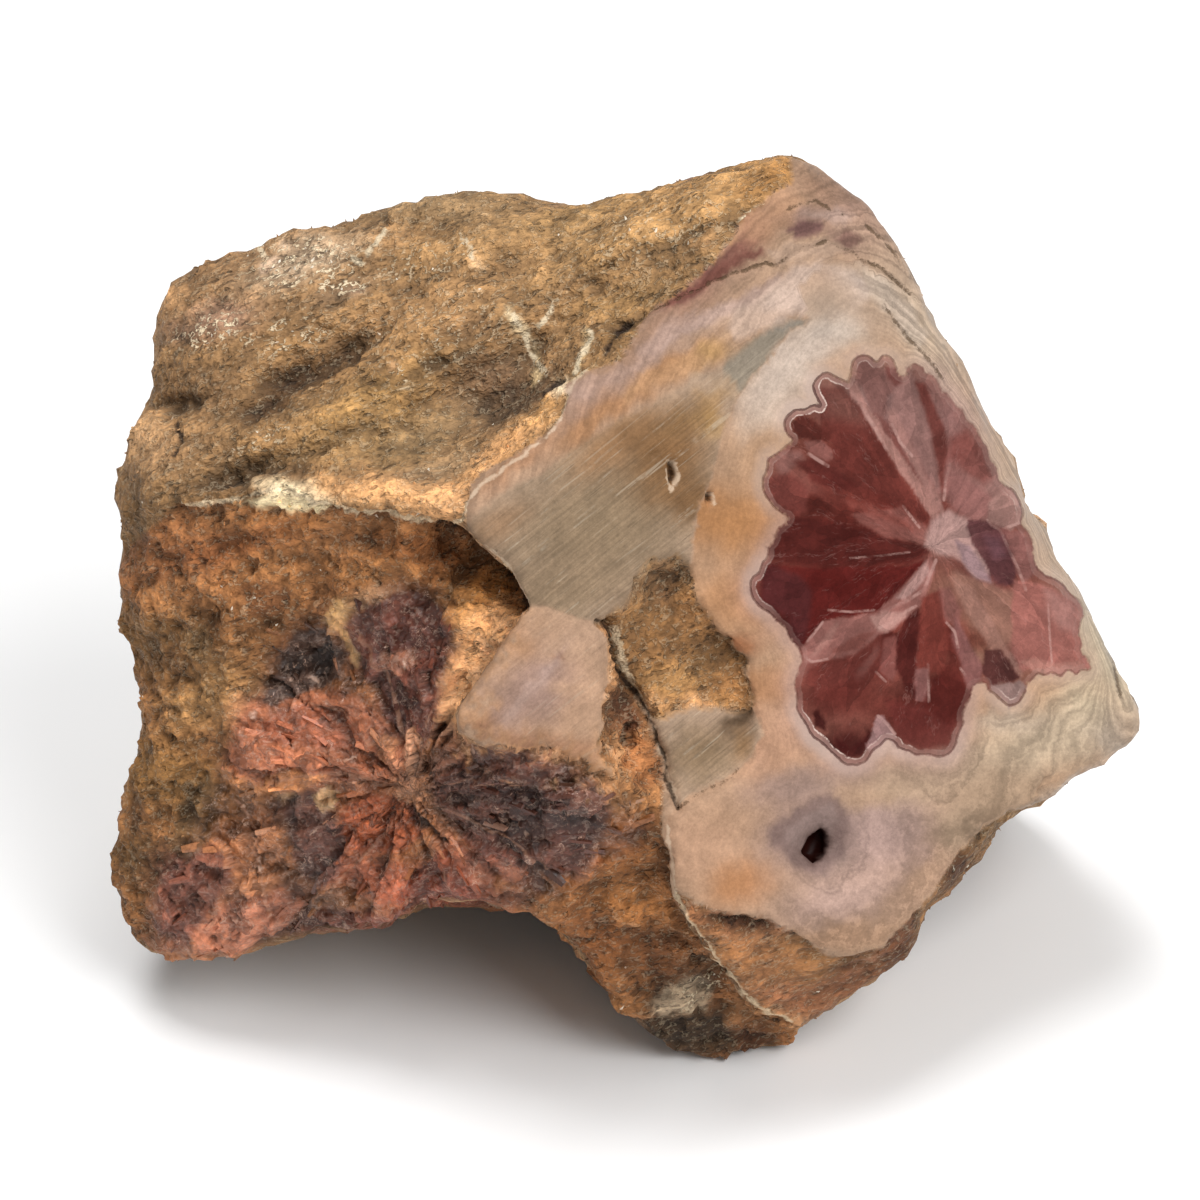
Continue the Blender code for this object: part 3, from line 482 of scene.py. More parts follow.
# Crystals of the flower, each a ring, how soft its edge is in mm, its shade and its strength.
FLOWER_PATCHES = [
    ([(822, 388), (843, 388), (866, 416), (887, 451), (901, 479), (920, 506), (934, 528), (916, 520),
     (887, 498), (857, 484), (834, 472), (828, 467), (834, 445), (822, 434), (820, 406)], 0.2,
     (104, 52, 46), 0.9),
    ([(822, 386), (845, 388), (862, 412), (866, 424), (846, 420), (826, 416)], 1.0, (118, 80, 72), 0.8),
    ([(856, 359), (875, 359), (881, 369), (894, 369), (903, 381), (901, 388), (888, 396), (887, 413),
     (881, 422), (869, 406), (863, 388), (856, 381)], 0.25, (128, 90, 84), 0.9),
    ([(885, 366), (896, 368), (903, 384), (897, 388), (888, 378)], 0.15, (104, 64, 60), 0.8),
    ([(914, 381), (925, 384), (935, 406), (945, 428), (948, 450), (944, 472), (942, 506), (938, 481),
     (935, 457), (931, 435), (922, 406)], 0.25, (112, 62, 56), 0.9),
    ([(950, 440), (968, 430), (982, 450), (994, 476), (984, 486), (962, 470), (950, 458)], 0.6,
     (126, 74, 68), 0.8),
    ([(950, 470), (972, 480), (990, 494), (996, 516), (975, 520), (952, 508), (944, 490)], 0.5,
     (152, 102, 96), 0.9),
    ([(895, 387), (913, 378), (922, 406), (931, 435), (935, 457), (942, 500), (931, 484), (913, 448),
     (901, 422), (892, 406)], 0.3, (150, 110, 103), 0.85),
    ([(887, 410), (895, 409), (901, 422), (913, 448), (928, 479), (941, 500), (945, 518), (936, 510),
     (916, 472), (900, 443), (888, 422)], 0.15, (164, 120, 111), 0.85),
    ([(869, 408), (887, 424), (900, 446), (920, 480), (936, 512), (929, 494), (909, 465), (887, 435)], 0.2,
     (122, 78, 72), 0.8),
    ([(848, 385), (857, 382), (865, 402), (887, 435), (909, 465), (929, 494), (940, 516), (931, 518),
     (916, 494), (898, 469), (887, 451), (872, 428), (862, 410), (851, 396)], 0.12, (168, 122, 112), 0.9),
    ([(791, 424), (799, 416), (810, 418), (822, 427), (831, 434), (828, 441), (822, 443), (799, 438),
     (794, 432)], 0.15, (90, 44, 38), 0.9),
    ([(802, 440), (822, 441), (834, 451), (834, 460), (826, 461), (810, 452)], 0.15, (148, 96, 88), 0.8),
    ([(774, 463), (783, 452), (800, 450), (804, 459), (790, 470), (780, 476)], 0.4, (150, 102, 94), 0.8),
    ([(768, 476), (790, 474), (806, 486), (810, 506), (798, 514), (780, 506), (766, 490)], 0.4,
     (126, 68, 62), 0.8),
    ([(794, 462), (812, 458), (840, 474), (858, 486), (840, 492), (812, 480)], 0.3, (92, 40, 36), 0.8),
    ([(810, 493), (822, 498), (832, 510), (822, 518), (810, 516), (806, 504)], 0.25, (84, 36, 30), 0.85),
    ([(777, 533), (796, 517), (822, 519), (862, 529), (923, 544), (930, 553), (909, 563), (847, 566),
     (807, 567), (771, 561), (768, 548)], 0.25, (82, 34, 30), 0.9),
    ([(936, 535), (901, 507), (872, 511), (852, 514), (858, 522), (887, 538), (923, 543)], 0.2,
     (144, 90, 82), 0.8),
    ([(842, 500), (870, 504), (905, 520), (912, 530), (880, 518), (850, 508)], 0.3, (128, 72, 64), 0.7),
    ([(760, 573), (771, 563), (807, 568), (847, 567), (909, 566), (930, 556), (911, 578), (893, 596),
     (878, 611), (855, 616), (832, 619), (823, 622), (807, 642), (801, 648), (792, 642), (788, 630),
     (789, 616), (771, 608), (761, 598)], 0.15, (90, 30, 27), 0.92),
    ([(760, 573), (771, 565), (800, 575), (812, 592), (808, 625), (801, 648), (792, 642), (788, 630),
     (789, 616), (771, 608), (761, 598)], 0.4, (80, 40, 41), 0.8),
    ([(930, 555), (936, 570), (924, 601), (916, 611), (893, 630), (878, 636), (857, 654), (826, 660),
     (806, 664), (801, 650), (807, 642), (823, 622), (832, 619), (855, 616), (878, 611), (893, 596),
     (910, 578)], 0.12, (154, 102, 94), 0.92),
    ([(926, 560), (930, 572), (912, 594), (904, 600), (896, 598), (912, 578)], 0.15, (186, 146, 138), 0.8),
    ([(870, 616), (884, 612), (902, 612), (912, 606), (906, 618), (886, 632), (878, 630)], 0.15,
     (182, 138, 128), 0.8),
    ([(858, 634), (876, 632), (860, 648), (838, 654), (828, 652)], 0.15, (128, 76, 68), 0.7),
    ([(826, 636), (834, 624), (840, 622), (832, 640), (816, 656), (810, 656)], 0.15, (168, 120, 110), 0.7),
    ([(808, 664), (850, 656), (880, 638), (894, 640), (896, 668), (886, 682), (872, 676), (846, 684),
     (815, 690), (804, 682)], 0.5, (112, 58, 52), 0.85),
    ([(884, 640), (896, 636), (900, 668), (892, 682), (880, 672)], 0.2, (140, 88, 82), 0.7),
    ([(897, 640), (904, 622), (918, 607), (922, 618), (918, 660), (915, 700), (905, 688), (896, 668)],
     0.15, (80, 33, 30), 0.92),
    ([(922, 598), (940, 590), (946, 606), (948, 650), (944, 675), (928, 672), (916, 668), (919, 630)], 0.2,
     (124, 62, 54), 0.9),
    ([(915, 668), (929, 668), (928, 702), (915, 700)], 0.12, (150, 100, 95), 0.85),
    ([(931, 678), (946, 676), (948, 692), (940, 702), (932, 698)], 0.25, (82, 32, 29), 0.9),
    ([(812, 712), (818, 710), (826, 722), (826, 732), (815, 726)], 0.15, (60, 20, 19), 0.9),
    ([(835, 737), (850, 748), (862, 740), (869, 728), (872, 740), (862, 756), (848, 759), (840, 752)],
     0.25, (64, 21, 20), 0.9),
    ([(866, 750), (870, 736), (877, 717), (881, 715), (893, 729), (897, 738), (888, 744), (877, 749)],
     0.12, (162, 124, 121), 0.95),
    ([(886, 700), (914, 706), (944, 706), (956, 722), (950, 746), (920, 750), (900, 742), (894, 726)], 0.5,
     (112, 54, 50), 0.8),
    ([(931, 520), (948, 510), (969, 520), (982, 545), (990, 572), (976, 577), (962, 562), (950, 556),
     (938, 553), (924, 546)], 0.35, (184, 146, 138), 0.9),
    ([(955, 540), (970, 546), (984, 566), (992, 584), (978, 578), (962, 562)], 0.2, (152, 122, 124), 0.9),
    ([(969, 520), (988, 521), (995, 528), (1005, 536), (1012, 553), (1016, 570), (1014, 585), (995, 583),
     (986, 566), (973, 545), (967, 528)], 0.12, (96, 62, 65), 0.95),
    ([(984, 536), (1000, 538), (1006, 556), (994, 560)], 0.5, (110, 78, 86), 0.7),
    ([(988, 502), (1003, 490), (1016, 500), (1021, 522), (1010, 530), (997, 526), (988, 520)], 0.2,
     (162, 122, 113), 0.85),
    ([(1005, 534), (1022, 530), (1032, 550), (1036, 570), (1026, 584), (1016, 572), (1012, 552)], 0.2,
     (138, 92, 86), 0.9),
    ([(952, 572), (975, 578), (1000, 588), (1014, 592), (1012, 640), (1002, 646), (985, 636), (966, 610)],
     0.4, (160, 114, 98), 0.85),
    ([(950, 576), (966, 610), (985, 640), (1002, 668), (1020, 680), (1024, 672), (1008, 650), (990, 616),
     (970, 586)], 0.2, (172, 126, 112), 0.6),
    ([(938, 590), (950, 588), (962, 610), (958, 626), (946, 622)], 0.3, (140, 90, 84), 0.8),
    ([(920, 706), (948, 660), (946, 622), (956, 634), (963, 662), (966, 690), (960, 716), (948, 724)], 0.3,
     (98, 42, 37), 0.8),
    ([(956, 618), (968, 640), (985, 668), (978, 684), (968, 690), (960, 660), (950, 634)], 0.25,
     (146, 96, 92), 0.85),
    ([(1014, 581), (1039, 583), (1056, 590), (1078, 605), (1080, 630), (1082, 649), (1091, 671),
     (1078, 675), (1056, 675), (1039, 667), (1022, 671), (1012, 652), (1012, 613)], 0.2, (172, 108, 98),
     0.92),
    ([(1044, 588), (1060, 594), (1077, 606), (1076, 634), (1060, 628), (1048, 610)], 0.6, (178, 128, 119),
     0.8),
    ([(1020, 662), (1036, 658), (1056, 664), (1080, 660), (1086, 670), (1060, 675), (1036, 672)], 0.2,
     (190, 136, 122), 0.6),
    ([(986, 649), (1001, 649), (1010, 662), (1020, 678), (1005, 683), (992, 687), (982, 673)], 0.12,
     (86, 52, 50), 0.95),
    ([(990, 686), (1003, 685), (1020, 680), (1026, 686), (1018, 701), (1008, 705), (998, 699)], 0.12,
     (142, 114, 108), 0.95),
]
# How strongly the flower's rim is drawn in each part: middle, half length, half height, lean and strength.
RIM_PARTS = [
    ((812, 402), 50, 42, 0, 1.0), ((868, 360), 40, 18, 0, 0.6), ((768, 475), 30, 46, 0, 0.55),
    ((764, 585), 34, 40, 0, 0.7), ((830, 735), 60, 46, 0, 0.95), ((890, 746), 40, 20, 0, 0.75),
    ((948, 742), 30, 34, 0, 0.5), ((1014, 500), 20, 26, 0, 0.6), ((1008, 698), 26, 16, 0, 0.7),
    ((1056, 674), 44, 12, 0, 0.45), ((1060, 584), 40, 16, -30, 0.5),
]
HIDDEN_SHADES = [(134, 102, 70), (168, 130, 88), (104, 78, 54), (190, 150, 118), (150, 112, 92)]


# Crystals and lumps of the broken front, each a ring, how soft its edge is in mm, its shade and its strength.
FAN_PATCHES = [
    ([(424, 566), (396, 556), (352, 560), (330, 572), (352, 584), (392, 586), (420, 580)], 0.5,
     (196, 140, 92), 0.5),
    ([(140, 590), (176, 574), (214, 580), (220, 604), (180, 616), (146, 610)], 0.6, (186, 132, 88), 0.5),
    ([(238, 588), (262, 578), (290, 590), (284, 612), (254, 618)], 0.5, (122, 78, 50), 0.6),
    ([(180, 634), (200, 628), (214, 644), (204, 664), (184, 660)], 0.4, (198, 158, 114), 0.5),
    ([(225, 760), (230, 730), (250, 700), (300, 690), (345, 690), (380, 712), (410, 745), (402, 772),
     (370, 792), (330, 786), (290, 792), (250, 784)], 0.6, (166, 108, 82), 0.85),
    ([(262, 722), (300, 704), (340, 712), (372, 740), (352, 752), (300, 742), (268, 744)], 0.3,
     (150, 92, 70), 0.7),
    ([(344, 627), (360, 611), (395, 592), (417, 595), (440, 610), (456, 637), (456, 688), (440, 719),
     (425, 745), (412, 780), (403, 745), (378, 700), (360, 665)], 0.35, (102, 62, 53), 0.92),
    ([(372, 640), (395, 622), (420, 628), (424, 650), (400, 664), (380, 660)], 0.3, (80, 48, 42), 0.6),
    ([(380, 652), (412, 648), (420, 664), (396, 676), (382, 668)], 0.15, (146, 104, 84), 0.6),
    ([(262, 704), (268, 690), (283, 656), (296, 633), (322, 633), (341, 656), (341, 675), (322, 688),
     (290, 696), (272, 708)], 0.22, (86, 68, 61), 0.93),
    ([(318, 626), (330, 606), (343, 603), (336, 620), (326, 631)], 0.12, (192, 156, 108), 0.9),
    ([(337, 627), (346, 632), (356, 650), (358, 669), (350, 663), (342, 645)], 0.12, (196, 162, 118), 0.9),
    ([(345, 600), (372, 584), (400, 590), (380, 600), (356, 612)], 0.3, (180, 138, 106), 0.8),
    ([(340, 812), (366, 795), (405, 800), (424, 830), (404, 852), (362, 852), (338, 836)], 0.4,
     (158, 88, 58), 0.85),
    ([(283, 802), (310, 790), (330, 812), (346, 842), (340, 872), (318, 892), (300, 880), (290, 850)], 0.4,
     (102, 72, 66), 0.85),
    ([(436, 748), (480, 742), (520, 745), (570, 765), (600, 790), (612, 815), (602, 840), (580, 872),
     (555, 880), (520, 868), (480, 850), (452, 832), (432, 804), (428, 770)], 0.7, (82, 52, 45), 0.93),
    ([(460, 832), (490, 838), (516, 862), (548, 884), (540, 898), (500, 880), (470, 852)], 0.25,
     (128, 80, 68), 0.6),
    ([(158, 884), (180, 850), (215, 845), (236, 860), (230, 884), (204, 920), (186, 945), (165, 930)], 0.5,
     (122, 78, 66), 0.85),
    ([(190, 938), (230, 902), (280, 890), (302, 906), (290, 930), (240, 950), (200, 957)], 0.4,
     (180, 120, 96), 0.8),
    ([(226, 850), (250, 800), (276, 830), (284, 880), (262, 896), (236, 886)], 0.4, (176, 124, 90), 0.75),
    ([(395, 896), (420, 870), (440, 848), (468, 862), (480, 900), (440, 906)], 0.25, (134, 74, 56), 0.85),
    ([(446, 846), (470, 856), (496, 876), (488, 902), (466, 880)], 0.2, (152, 98, 78), 0.7),
    ([(300, 946), (340, 924), (400, 905), (446, 902), (404, 922), (340, 942)], 0.3, (106, 60, 48), 0.9),
    ([(176, 806), (206, 772), (222, 788), (208, 840), (188, 862), (170, 850)], 0.5, (102, 78, 52), 0.8),
    ([(262, 778), (290, 770), (328, 778), (304, 791), (268, 791)], 0.18, (204, 146, 100), 0.85),
    ([(311, 799), (322, 789), (339, 796), (336, 808), (321, 811)], 0.12, (210, 180, 142), 0.9),
    ([(404, 734), (412, 727), (422, 740), (420, 756), (409, 753)], 0.12, (204, 156, 130), 0.9),
    ([(372, 744), (384, 732), (398, 740), (396, 762), (380, 764)], 0.15, (178, 130, 96), 0.7),
    ([(424, 760), (440, 730), (470, 738), (462, 760), (436, 778)], 0.4, (150, 108, 88), 0.6),
    ([(404, 800), (414, 806), (420, 826), (410, 822)], 0.12, (70, 36, 24), 0.9),
    ([(601, 690), (612, 684), (632, 706), (642, 730), (622, 736), (606, 726)], 0.3, (96, 56, 36), 0.9),
    ([(620, 742), (640, 736), (660, 752), (664, 778), (644, 790), (624, 770)], 0.3, (158, 106, 68), 0.9),
    ([(648, 1008), (672, 984), (700, 976), (716, 990), (706, 1012), (680, 1008), (664, 1022)], 0.25,
     (156, 140, 124), 0.85),
    ([(640, 1030), (690, 1010), (724, 1014), (738, 1052), (700, 1052), (660, 1046)], 0.5, (70, 54, 40),
     0.9),
    ([(411, 788), (404, 768), (402, 735), (410, 728), (420, 738), (419, 768)], 0.2, (210, 162, 132), 0.75),
    ([(409, 789), (392, 775), (378, 752), (384, 742), (398, 756), (408, 774)], 0.2, (200, 144, 114), 0.75),
    ([(408, 791), (380, 790), (330, 786), (280, 786), (330, 781), (380, 784)], 0.15, (206, 150, 116), 0.6),
    ([(414, 792), (432, 812), (462, 842), (472, 852), (448, 838), (424, 814)], 0.15, (200, 140, 104), 0.7),
    # painted shadow: a black patch at the lower right of the heart
    ([(414, 806), (424, 816), (428, 830), (418, 822)], 0.15, (48, 24, 18), 0.8),
    ([(404, 796), (399, 802), (392, 800), (398, 792)], 0.15, (212, 164, 130), 0.7),
]


def daylight(colour):
    """A colour as seen on show, from 0 to 255, as the share of light the surface itself gives back."""
    share = np.array(colour, float) / 255.0
    return np.where(share <= 0.04045, share / 12.92, ((share + 0.055) / 1.055) ** 2.4) / SHOW_LIGHT


def ramp(value, low, high):
    """0 below low, 1 above high, and smooth between."""
    share = np.clip((value - low) / (high - low), 0.0, 1.0)
    return share * share * (3 - 2 * share)


def chain_distance(across, down, chains):
    """Distance to the nearest of some chains of places in the frame, in mm."""
    nearest = np.full(across.shape, 1e9)
    for chain in chains:
        for (x0, y0), (x1, y1) in zip(chain, chain[1:]):
            run, rise = x1 - x0, y1 - y0
            share = ((across - x0) * run + (down - y0) * rise) / max(run * run + rise * rise, 1e-9)
            share = np.clip(share, 0.0, 1.0)
            nearest = np.minimum(nearest, np.hypot(across - x0 - share * run, down - y0 - share * rise))
    return nearest / FRAME_PER_MM


def ring_distance(across, down, ring):
    """Distance to a closed ring in the frame, in mm, negative inside it."""
    inside = np.zeros(across.shape, bool)
    for (x0, y0), (x1, y1) in zip(ring, ring[1:] + ring[:1]):
        if y0 != y1:
            inside ^= ((y0 > down) != (y1 > down)) & (across < x0 + (down - y0) * (x1 - x0) / (y1 - y0))
    nearest = chain_distance(across, down, [ring + ring[:1]])
    return np.where(inside, -nearest, nearest)


def cut_corners(ring):
    """A ring with its corners cut, so that it runs in curves."""
    near, far = 0.78, 0.22
    curved = []
    for (x0, y0), (x1, y1) in zip(ring, ring[1:] + ring[:1]):
        curved += [(near * x0 + far * x1, near * y0 + far * y1), (far * x0 + near * x1, far * y0 + near * y1)]
    return curved


def hill(across, down, middle, half_length, half_height, lean, ledge=False):
    """A weight, 1 at its middle and near 0 past its reach, cut off short above where it is a ledge."""
    turn = math.radians(lean)
    along = ((across - middle[0]) * math.cos(turn) - (down - middle[1]) * math.sin(turn)) / half_length
    over = ((across - middle[0]) * math.sin(turn) + (down - middle[1]) * math.cos(turn)) / half_height
    weight = np.exp(-((along * along + over * over) ** 1.4))
    return weight * ramp(over, -0.75, -0.35) if ledge else weight


def lay(colour, shade, weight):
    """Lays a shade over the points' colours."""
    colour += (daylight(shade) - colour) * weight[:, None]


def lay_washes(colour, across, down, washes, cover):
    """Lays washes over a colour, each strongest at its middle, where cover is 1."""
    for middle, half_length, half_height, lean, shade, strength in washes:
        lay(colour, shade, strength * hill(across, down, middle, half_length, half_height, lean) * cover)


def lay_patches(colour, across, down, patches, cover):
    """Lays patches over a colour, each a ring with a soft edge, where cover is 1."""
    for ring, softness, shade, strength in patches:
        lay(colour, shade, strength * cover * ramp(-ring_distance(across, down, ring), -softness, softness))


def clumps(points, size, seed, octaves=3):
    """Lumpy random values, about -1 to 1, in lumps of a size in mm."""
    places = points / (size * MM) + seed
    return np.array([noise.fractal(Vector(place), 0.8, 2.1, octaves) for place in places])


def of_points(mesh, kind):
    """Where a mesh's points lie ("co"), or which way they face ("normal"), one row each."""
    values = np.zeros(len(mesh.vertices) * 3)
    mesh.vertices.foreach_get(kind, values)
    return values.reshape(-1, 3)


FLOWER = cut_corners(FLOWER)
GREY_BLOCK = cut_corners(GREY_BLOCK)
SMALL_STALACTITE = cut_corners(SMALL_STALACTITE)

# a closed copy of the solid's loose triangles, regrained into even faces
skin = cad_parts["specimen"].data.copy()
welding = bmesh.new()
welding.from_mesh(skin)
bmesh.ops.remove_doubles(welding, verts=welding.verts, dist=0.01 * MM)
welding.to_mesh(skin)
welding.free()
stone = bpy.data.objects.new("vein_rock_skin", skin)
bpy.context.scene.collection.objects.link(stone)
regrain = stone.modifiers.new("regrain", "REMESH")
regrain.mode = "VOXEL"
regrain.voxel_size = SKIN_GRAIN
skin = bpy.data.meshes.new_from_object(stone.evaluated_get(bpy.context.evaluated_depsgraph_get()))
stone.modifiers.clear()
stone.data = skin

# the skin is divided again where it shows and is rough, and beside every fine line, so that lines stay sharp
fine = bmesh.new()
fine.from_mesh(skin)
for step in ("shown", "crystals", "line", "line"):
    corners = np.array([corner.co for corner in fine.verts])
    across, down, depth = seen_at(corners)
    fine.normal_update()
    turned = np.array([corner.normal for corner in fine.verts]) @ looking
    if step == "shown":
        chosen = np.ones(len(corners), bool)
    elif step == "crystals":
        chosen = ring_distance(across, down, FAN_CRYSTALS) < 0.0
        chosen |= ring_distance(across, down, FLOWER) < 0.1
    else:
        near_line = chain_distance(across, down, FINE_LINES)
        for ring in (FLOWER, SMALL_STALACTITE, HOLE):
            near_line = np.minimum(near_line, np.abs(ring_distance(across, down, ring)))
        chosen = near_line < LINE_REACH
    chosen &= turned < FACING_EYE
    edges = [edge for edge in fine.edges if chosen[edge.verts[0].index] and chosen[edge.verts[1].index]
             and (step == "shown" or edge.calc_length() > FINEST_EDGE)]
    bmesh.ops.subdivide_edges(fine, edges=edges, cuts=1, use_grid_fill=True)
    fine.verts.index_update()
bmesh.ops.triangulate(fine, faces=fine.faces)
fine.to_mesh(skin)
fine.free()

points = of_points(skin, "co")
normals = of_points(skin, "normal")
across, down, depth = seen_at(points)
towards_eye = -(normals @ looking)
in_view = ramp(towards_eye, 0.02, 0.16)
cut_place = points[np.argmax(points @ SAW_CUT_NORMAL)]
cut_depth = (cut_place - points) @ SAW_CUT_NORMAL / MM

# two wanders that make every border ragged, and where each kind of surface lies, from 0 to 1
wander = np.stack([clumps(points, 6.0, 11.0), clumps(points, 6.0, 31.0)], axis=1)
ragged = np.stack([clumps(points, 1.6, 51.0, 3), clumps(points, 1.6, 71.0, 3)], axis=1)


def sway(far, near):
    """Every point's place in the frame, moved about by a wide and by a fine wander."""
    return across + far * wander[:, 0] + near * ragged[:, 0], down + far * wander[:, 1] + near * ragged[:, 1]


wash_across, wash_down = sway(7.0, 5.0)
patch_across, patch_down = sway(0.0, 2.6)
saw_edge = ring_distance(*sway(0.0, 1.5), SAW_CUT)
rough_grey = ramp(-ring_distance(*sway(0.0, 6.0), ROUGH_GREY), -0.3, 0.7)
sawn_part = ramp(-saw_edge, -0.05, 0.2) * in_view * (1 - ramp(cut_depth, 4.5, 7.5))
polished = sawn_part * (1 - rough_grey)
# the small stalactite is sharp along its sawn top, and lost in the rock on its left and below
small_side = np.maximum(ramp(560 - across, 0, 60), ramp(down, 715, 745))
small_sway = (2 + 30 * small_side)[:, None] * ragged + (12 * small_side)[:, None] * wander
small_edge = ring_distance(across + small_sway[:, 0], down + small_sway[:, 1], SMALL_STALACTITE)
small_depth = -small_edge + 0.45 * small_side * ragged[:, 0]
small_inside = ramp(small_depth, -0.1 - 0.9 * small_side, 0.2 + 0.8 * small_side)
polished = np.maximum(polished, small_inside * in_view * (1 - ramp(cut_depth, 1.0, 1.6)))
rough = 1 - polished
broken = ramp(-ring_distance(across, down, BROKEN), -0.2, 0.2) * in_view * rough
crystal = ramp(-ring_distance(wash_across, wash_down, FAN_CRYSTALS), -1.2, 1.2) * broken
crystal *= 1 - ramp(-ring_distance(across, down, WALL), -1.0, 1.0)
crust = rough * (1 - broken) * in_view * ramp(down, 820, 860)
matrix = rough * (1 - broken) * (1 - crust) * (1 - rough_grey)

# lumps, grit, hollows and crystal faces, which stand up to half a millimetre off the skin
fan_run, fan_rise = (across - FAN_HEART[0]) / FRAME_PER_MM, (FAN_HEART[1] - down) / FRAME_PER_MM
fan_reach = np.hypot(fan_run, fan_rise) + 1e-6


def flat_faces(places, seed):
    """The height of a surface broken into small flat faces, each tilted its own way, about -1 to 1."""
    heights = []
    for place in places:
        distances, centres = noise.voronoi(Vector(place) + Vector((seed, 0, 0)))
        tilt = noise.cell_vector(centres[0] * 7.3)
        offset = Vector(place) + Vector((seed, 0, 0)) - centres[0]
        heights.append(1.6 * offset.dot(tilt * 2 - Vector((1, 1, 1))) + 0.7 * (tilt.x - 0.5))
    return np.array(heights)


rays = np.stack([fan_run / fan_reach * 3.4, fan_rise / fan_reach * 3.4, fan_reach / 7.0], axis=1)
finer_rays = np.stack([fan_run / fan_reach * 8.0, fan_rise / fan_reach * 8.0, fan_reach / 2.6], axis=1)
blades = flat_faces(rays + 0.25 * wander[:, :1], 3.0)
finer_blades = flat_faces(finer_rays + 0.3 * ragged[:, :1], 9.0)
chips = flat_faces(points / (2.4 * MM), 5.0)
crumbs = flat_faces(points / (0.95 * MM), 15.0)
lumps = clumps(points, 4.0, 91.0, 4)
beds = np.stack([across * BED_RUN - down * BED_RISE, across * BED_RISE + down * BED_RUN,
                 depth * FRAME_PER_MM], axis=1)
ledges = clumps(beds * np.array([0.10, 0.34, 0.10]) * MM, 2.6, 191.0, 3)
ledges = np.clip(1.0 - 3.4 * np.abs(ledges), -0.6, 1.0)
ledge_patch = ramp(clumps(beds * np.array([0.1, 0.16, 0.1]) * MM, 9.0, 211.0, 2), -0.35, 0.25)
grit = clumps(points, 0.9, 111.0, 2)
spread = ramp(fan_reach, 0.3, 3.0)
# how far each kind of relief lifts each kind of rock, in mm
lift = matrix * (
    0.40 * lumps + 0.14 * grit + 0.14 * chips + 0.10 * crumbs - 0.20 * ledges * ledge_patch - 0.12)
lift += crystal * spread * (0.72 * blades + 0.24 * finer_blades + 0.22 * chips + 0.08 * grit - 0.15)
lift += broken * (1 - crystal) * (
    0.60 * lumps + 0.14 * grit + 0.36 * chips + 0.10 * crumbs - 0.18 * ledges - 0.14)
lift += crust * (0.36 * lumps + 0.10 * grit + 0.18 * chips - 0.15)
lift += rough_grey * in_view * (1 - broken) * (0.30 * lumps + 0.26 * grit + 0.24 * chips - 0.25)
hollow_shade = np.zeros(len(points))
for middle, half_length, half_height, lean, deep in HOLLOWS:
    if half_length < SHARP_HOLLOW:
        spot = hill(across, down, middle, half_length, half_height, lean) * in_view
    else:
        is_ledge = deep > LEDGE_DEPTH
        spot = hill(wash_across, wash_down, middle, half_length, half_height, lean, is_ledge) * in_view
    lift -= deep * spot
    hollow_shade = np.maximum(hollow_shade, np.clip(deep, 0, 1) * spot)
crack_edge = chain_distance(patch_across, patch_down, CRACKS)
wide_crack = chain_distance(patch_across, patch_down, CRACKS[:2])
lift -= 1.3 * np.exp(-(wide_crack / 0.55) ** 2) * in_view * (1 - 0.7 * polished)
lift -= 0.35 * np.exp(-(crack_edge / 0.25) ** 2) * in_view
lift -= 0.5 * np.exp(-(chain_distance(across - 5, down + 2, LOBE_EDGE) / 0.35) ** 2) * in_view * broken
lift -= 0.18 * np.exp(-(chain_distance(across, down, SEAMS[:1]) / 0.22) ** 2) * in_view
lift -= 1.6 * ramp(-ring_distance(across, down, HOLE), -0.1, 0.5) * in_view
points = points + normals * (np.clip(lift, DEEPEST, HIGHEST) * MM)[:, None]
lowest, highest = np.array(solid_box[0]), np.array(solid_box[1])
points = np.clip(points, lowest, highest)
skin.vertices.foreach_set("co", points.ravel())
skin.update()
for face in skin.polygons:
    face.use_smooth = True

# colour, laid from the hidden rock to the finest marks
shade_pick = clumps(points, 15.0, 131.0, 3)
shade_pick_finer = clumps(points, 5.0, 151.0, 3)
colour = np.tile(daylight(HIDDEN_SHADES[0]), (len(points), 1))
for shade, bend, finer in zip(HIDDEN_SHADES[1:], (0.10, -0.15, 0.30, -0.35), (0.2, -0.1, 0.25, -0.2)):
    level = shade_pick * np.sign(bend) + 0.5 * shade_pick_finer * np.sign(finer)
    lay(colour, shade, ramp(level, abs(bend), abs(bend) + 0.35) * 0.8)
open_matrix = in_view * rough * (1 - broken) * (1 - rough_grey) * (1 - ramp(down, 800, 850))
lay(colour, (150, 118, 82), open_matrix * 0.85)
lay_washes(colour, wash_across, wash_down, MATRIX_WASHES, open_matrix)
lay(colour, (146, 100, 64), broken * 0.85)
lay_washes(colour, wash_across, wash_down, FAN_WASHES + WALL_WASHES, broken)
lay_patches(colour, patch_across, patch_down, FAN_PATCHES, broken)
lay_washes(colour, wash_across, wash_down, SLOPE_WASHES, in_view * rough * (1 - broken))
lay_patches(colour, patch_across, patch_down, PALE_PATCHES, in_view * rough)
lay_washes(colour, wash_across, wash_down, CRUST_WASHES, crust)
# painted shade: the rough rock's colour is darkened in its hollows
colour *= (1 - 0.30 * hollow_shade * rough)[:, None]

